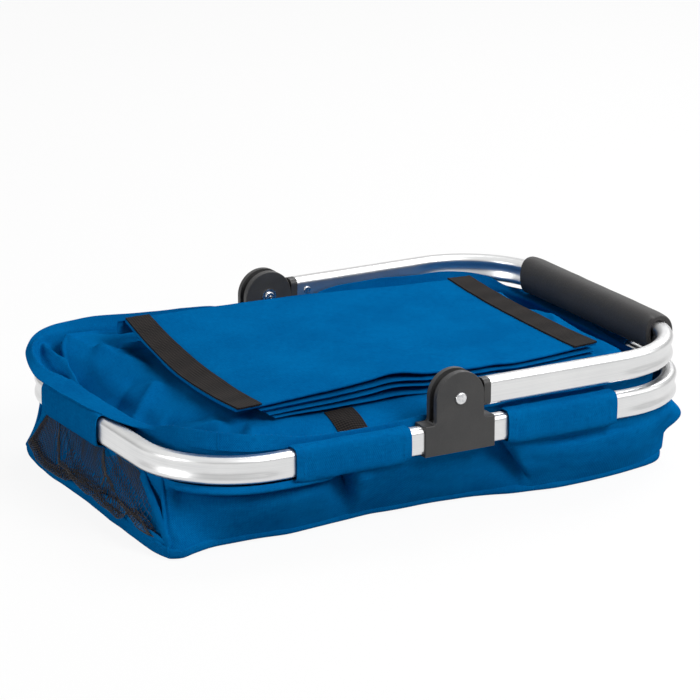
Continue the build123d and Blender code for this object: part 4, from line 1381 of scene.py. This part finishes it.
def crease_height(x, y):
    """Height of the sharp creases at a place."""
    height = 0.0
    for (ax, ay), (bx, by), rise, left, right in CREASES:
        rx, ry = bx - ax, by - ay
        length = math.hypot(rx, ry)
        t = ((x - ax) * rx + (y - ay) * ry) / length**2
        if -0.3 < t < 1.3:
            off = (rx * (y - ay) - ry * (x - ax)) / length
            wide = left if off > 0 else right
            ends = ease((t + 0.3) / 0.3) * ease((1.3 - t) / 0.3)
            height += rise * ends * math.exp(-abs(off) / wide)
    return height


def lining_point(q, share):
    """Point of the lining: share 0 at the collar, 1 under the insert's edge, 2 at the middle of the heap."""
    outer, out = around(q, COLLAR_HALF_X - 1.2, COLLAR_HALF_Y - 1.2, COLLAR_CORNER - 1)
    lean = 3.0 * hump(q % 10, 3.5, 0.3) * ease(share / 0.04)
    # tucked in along the far side, so that it clears the base's bound edge when it sinks
    lean -= 9.5 * ease((q % 10 - 3.85) / 0.25) * ease((5.0 - q % 10) / 0.25) * ease(share / 0.03)
    outer = (outer[0] + lean * out[0], outer[1] + lean * out[1])
    inner, _ = around(q, 150, 93, 8, HEAP_MIDDLE)
    way = min(share, 1.0)
    x, y = (mix(outer[i], inner[i], way) for i in (0, 1))
    z = level(LINING_STEPS, glide(LINING, q % 10), way)
    if share > 1:
        x, y = (mix(c, m, share - 1) for c, m in zip((x, y), HEAP_MIDDLE))
        under = mix(75.8, 90.0, clamp(insert_share(y)))
        return x, y, mix(z, under, ease((share - 1) / 0.3)) + 0.3 * ripple(x, y, scale=30, seed=1)
    loose = ease(way / 0.15) * ease((1 - way) / 0.3)
    crumple = 0.5 - abs(ripple(x, y, scale=46, seed=12))
    crumple_fine = 0.5 - abs(ripple(x, y, scale=19, seed=15))
    z += loose * (3.6 * crumple + 1.3 * crumple_fine - 1.2)
    return x, y, z + loose * crease_height(x, y)


def lining():
    def place(u, v):
        share = (v / EDGE_ROW) ** 1.4 if v < EDGE_ROW else 1 + (v - EDGE_ROW) / (1 - EDGE_ROW)
        return lining_point(station(COLLAR_LINE, u % 1.0 if u < 1 else 0.0, 0, 10), share)

    return dress(sewn(cut_sheet("lining_cloth", 440, 60, place, (1200, 190)), 0.9, 0, closed=True), BLUE)


def sink(piece, *nodes, **cut):
    """Bakes a piece's place into its mesh, leaves it on no body and hides the solids it stands for."""
    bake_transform(piece)
    stand_for(piece, *nodes, **cut)


heap = lining()
sink(heap, "lining_fold", flat=cut_size(heap, 0.56), held="gathered", rests_on=["collar_cloth"])


def loop_patch(name, side):
    def place(u, v):
        x = mix(-84, -60, u)
        way = mix(0.2, 0.82, v)
        turn = x / mix(148, 142, way)
        px, py, pz = lining_point((5 + turn if side > 0 else -turn) % 10, way)
        fray = 0.5 * ripple(px, scale=1.5) * (hump(v, 0, 0.04) + hump(v, 1, 0.04))
        return px, py + fray, pz + 1.0

    return dress(sewn(cut_sheet(name, 16, 30, place, (24, 36)), 0.9, 0), TAPE)


for name, side in (("loop_patch_near", -1), ("loop_patch_far", 1)):
    patch = loop_patch(name + "_tape", side)
    sink(patch, name, flat=cut_size(patch, 0.024), held="laid", rests_on=["lining_cloth"])


# --- foam grip

GRIP_HALF_WIDE, GRIP_HALF_HIGH, GRIP_BORE = 11.4, 15.4, 4.6
# One end of the grip's skin: place along the handle, and how far it lies inside the full section
GRIP_END = [(97.0, 1.3), (96.7, 0.45), (95.8, 0.1), (93.5, 0.0)]
GRIP_INSIDE = [(96.8, 4.0), (96.0, 4.5), (92.0, GRIP_BORE)]


def grip_ring(run, narrow, turn):
    """Point of the grip's skin at a place along the handle's cross run."""
    past = max(abs(run) - BEND_Y, 0.0) / BEND_LINE_RADIUS
    sign = math.copysign(1.0, run)
    out = (math.cos(past), sign * math.sin(past))
    x = HANDLE_BEND_X + BEND_LINE_RADIUS * out[0]
    y = sign * BEND_Y + BEND_LINE_RADIUS * out[1] if past else run
    c, s = math.cos(turn), math.sin(turn)
    wide = (GRIP_HALF_WIDE - narrow) * math.copysign(abs(c) ** 0.84, c)
    high = (GRIP_HALF_HIGH - narrow) * math.copysign(abs(s) ** 0.84, s)
    return Vector((x + out[0] * wide, y + out[1] * wide, HANDLE_Z + high))


def foam_grip():
    # out along the skin and back inside
    skin = [(-run, narrow) for run, narrow in GRIP_END]
    skin += [(-90 + 180 * k / 60, 0.0) for k in range(61)]
    skin += GRIP_END[::-1] + GRIP_INSIDE
    skin += [(-run, narrow) for run, narrow in GRIP_INSIDE[::-1]]
    count = len(skin)

    def place(u, v):
        run, narrow = skin[int(round(u * count)) % count]
        turn = 2 * math.pi * v
        point = grip_ring(run, narrow, turn)
        if narrow < 1:
            centre = grip_ring(run, 11.0, turn)
            push = 0.22 * ripple(run, 12 * math.cos(turn), 12 * math.sin(turn), scale=16)
            # slit of the foam at its near end
            if run < -86:
                push -= 1.6 * hump(turn, QUARTER + 0.25, 0.09) * ease((-86 - run) / 8)
            point += (point - centre).normalized() * push
        return point

    return dress(closed_skin(cut_sheet("grip_foam_skin", count, 40, place, (200, 88)), 0.01, 60), FOAM)


grip = foam_grip()
settle(grip, "handle", "grip_foam")


# --- stage, light and camera


def link_object(name, data, place, toward):
    """Puts a lamp or camera at a place, looking along a direction."""
    thing = bpy.data.objects.new(name, data)
    bpy.context.scene.collection.objects.link(thing)
    thing.location = place
    thing.rotation_mode = "QUATERNION"
    thing.rotation_quaternion = Vector(toward).to_track_quat("-Z", "Y")
    return thing


def studio():
    bpy.ops.object.select_all(action="DESELECT")
    bpy.ops.mesh.primitive_plane_add(size=14, location=(0, 0, -0.0004))
    floor = bpy.context.object
    floor.name = "studio_floor"
    finish = Finish("pale_floor")
    finish.set(Base_Color=(0.45, 0.45, 0.45, 1), Roughness=0.9, Specular_IOR_Level=0.1)
    glow = finish.add("Emission", {"Color": (1, 1, 1, 1), "Strength": 1.14})
    path = finish.add("LightPath").outputs
    seen = finish.math("MAXIMUM", path["Is Camera Ray"], path["Is Glossy Ray"])
    seen = finish.math("MULTIPLY", seen, 0.80)
    blend = finish.add("MixShader", {0: seen, 1: finish.shader.outputs[0], 2: glow.outputs[0]})
    finish.tree.links.new(blend.outputs[0], finish.tree.nodes["Material Output"].inputs[0])
    floor.data.materials.append(finish.material)

    world = bpy.data.worlds.new("soft_studio")
    bpy.context.scene.world = world
    world.use_nodes = True
    tree = world.node_tree
    path = add_node(tree, "LightPath").outputs
    seen = add_node(
        tree, "Math", {0: path["Is Camera Ray"], 1: path["Is Transmission Ray"]}, operation="MAXIMUM"
    )
    # plain rays light the cloth softly; mirrored rays see a room that is brighter overhead
    way = add_node(tree, "TexCoord").outputs["Generated"]
    up = add_node(tree, "SeparateXYZ", {0: way}).outputs["Z"]
    room = add_node(
        tree, "MapRange", {0: up, "From Min": 0.02, "From Max": 0.65, "To Min": 0.42, "To Max": 1.0}
    )
    strength = add_node(tree, "Mix", {"Factor": path["Is Glossy Ray"], "A": 0.12, "B": room.outputs[0]})
    whole = add_node(tree, "Mix", {"Factor": seen.outputs[0], "A": strength.outputs[0], "B": 1.0})
    back = tree.nodes["Background"]
    back.inputs[0].default_value = (1, 1, 1, 1)
    tree.links.new(whole.outputs[0], back.inputs[1])

    for name, place, aim, size, power in (
        ("front_softbox", (0.5, -1.4, 1.45), (0, 0, 0.05), 1.0, 28),
        ("left_softbox", (-2.0, -0.1, 0.46), (-0.1, 0, 0.06), 0.5, 11),
        ("back_softbox", (1.2, 0.7, 1.5), (0, 0, 0.05), 1.0, 19),
        ("side_softbox", (1.7, -0.9, 0.9), (0.05, 0, 0.05), 0.9, 3),
    ):
        lamp = bpy.data.lights.new(name, "AREA")
        lamp.size, lamp.energy = size, power
        link_object(name, lamp, place, Vector(aim) - Vector(place))

    lens = bpy.data.cameras.new("photo_camera")
    lens.sensor_width, lens.lens = 36, 190.47
    lens.clip_start, lens.clip_end = 0.05, 50
    camera = link_object("photo_camera", lens, (-1.3389, -2.3966, 0.9439), (0.4642, 0.8341, -0.2980))
    bpy.context.scene.camera = camera
    bpy.context.scene.view_settings.view_transform = "Standard"


studio()
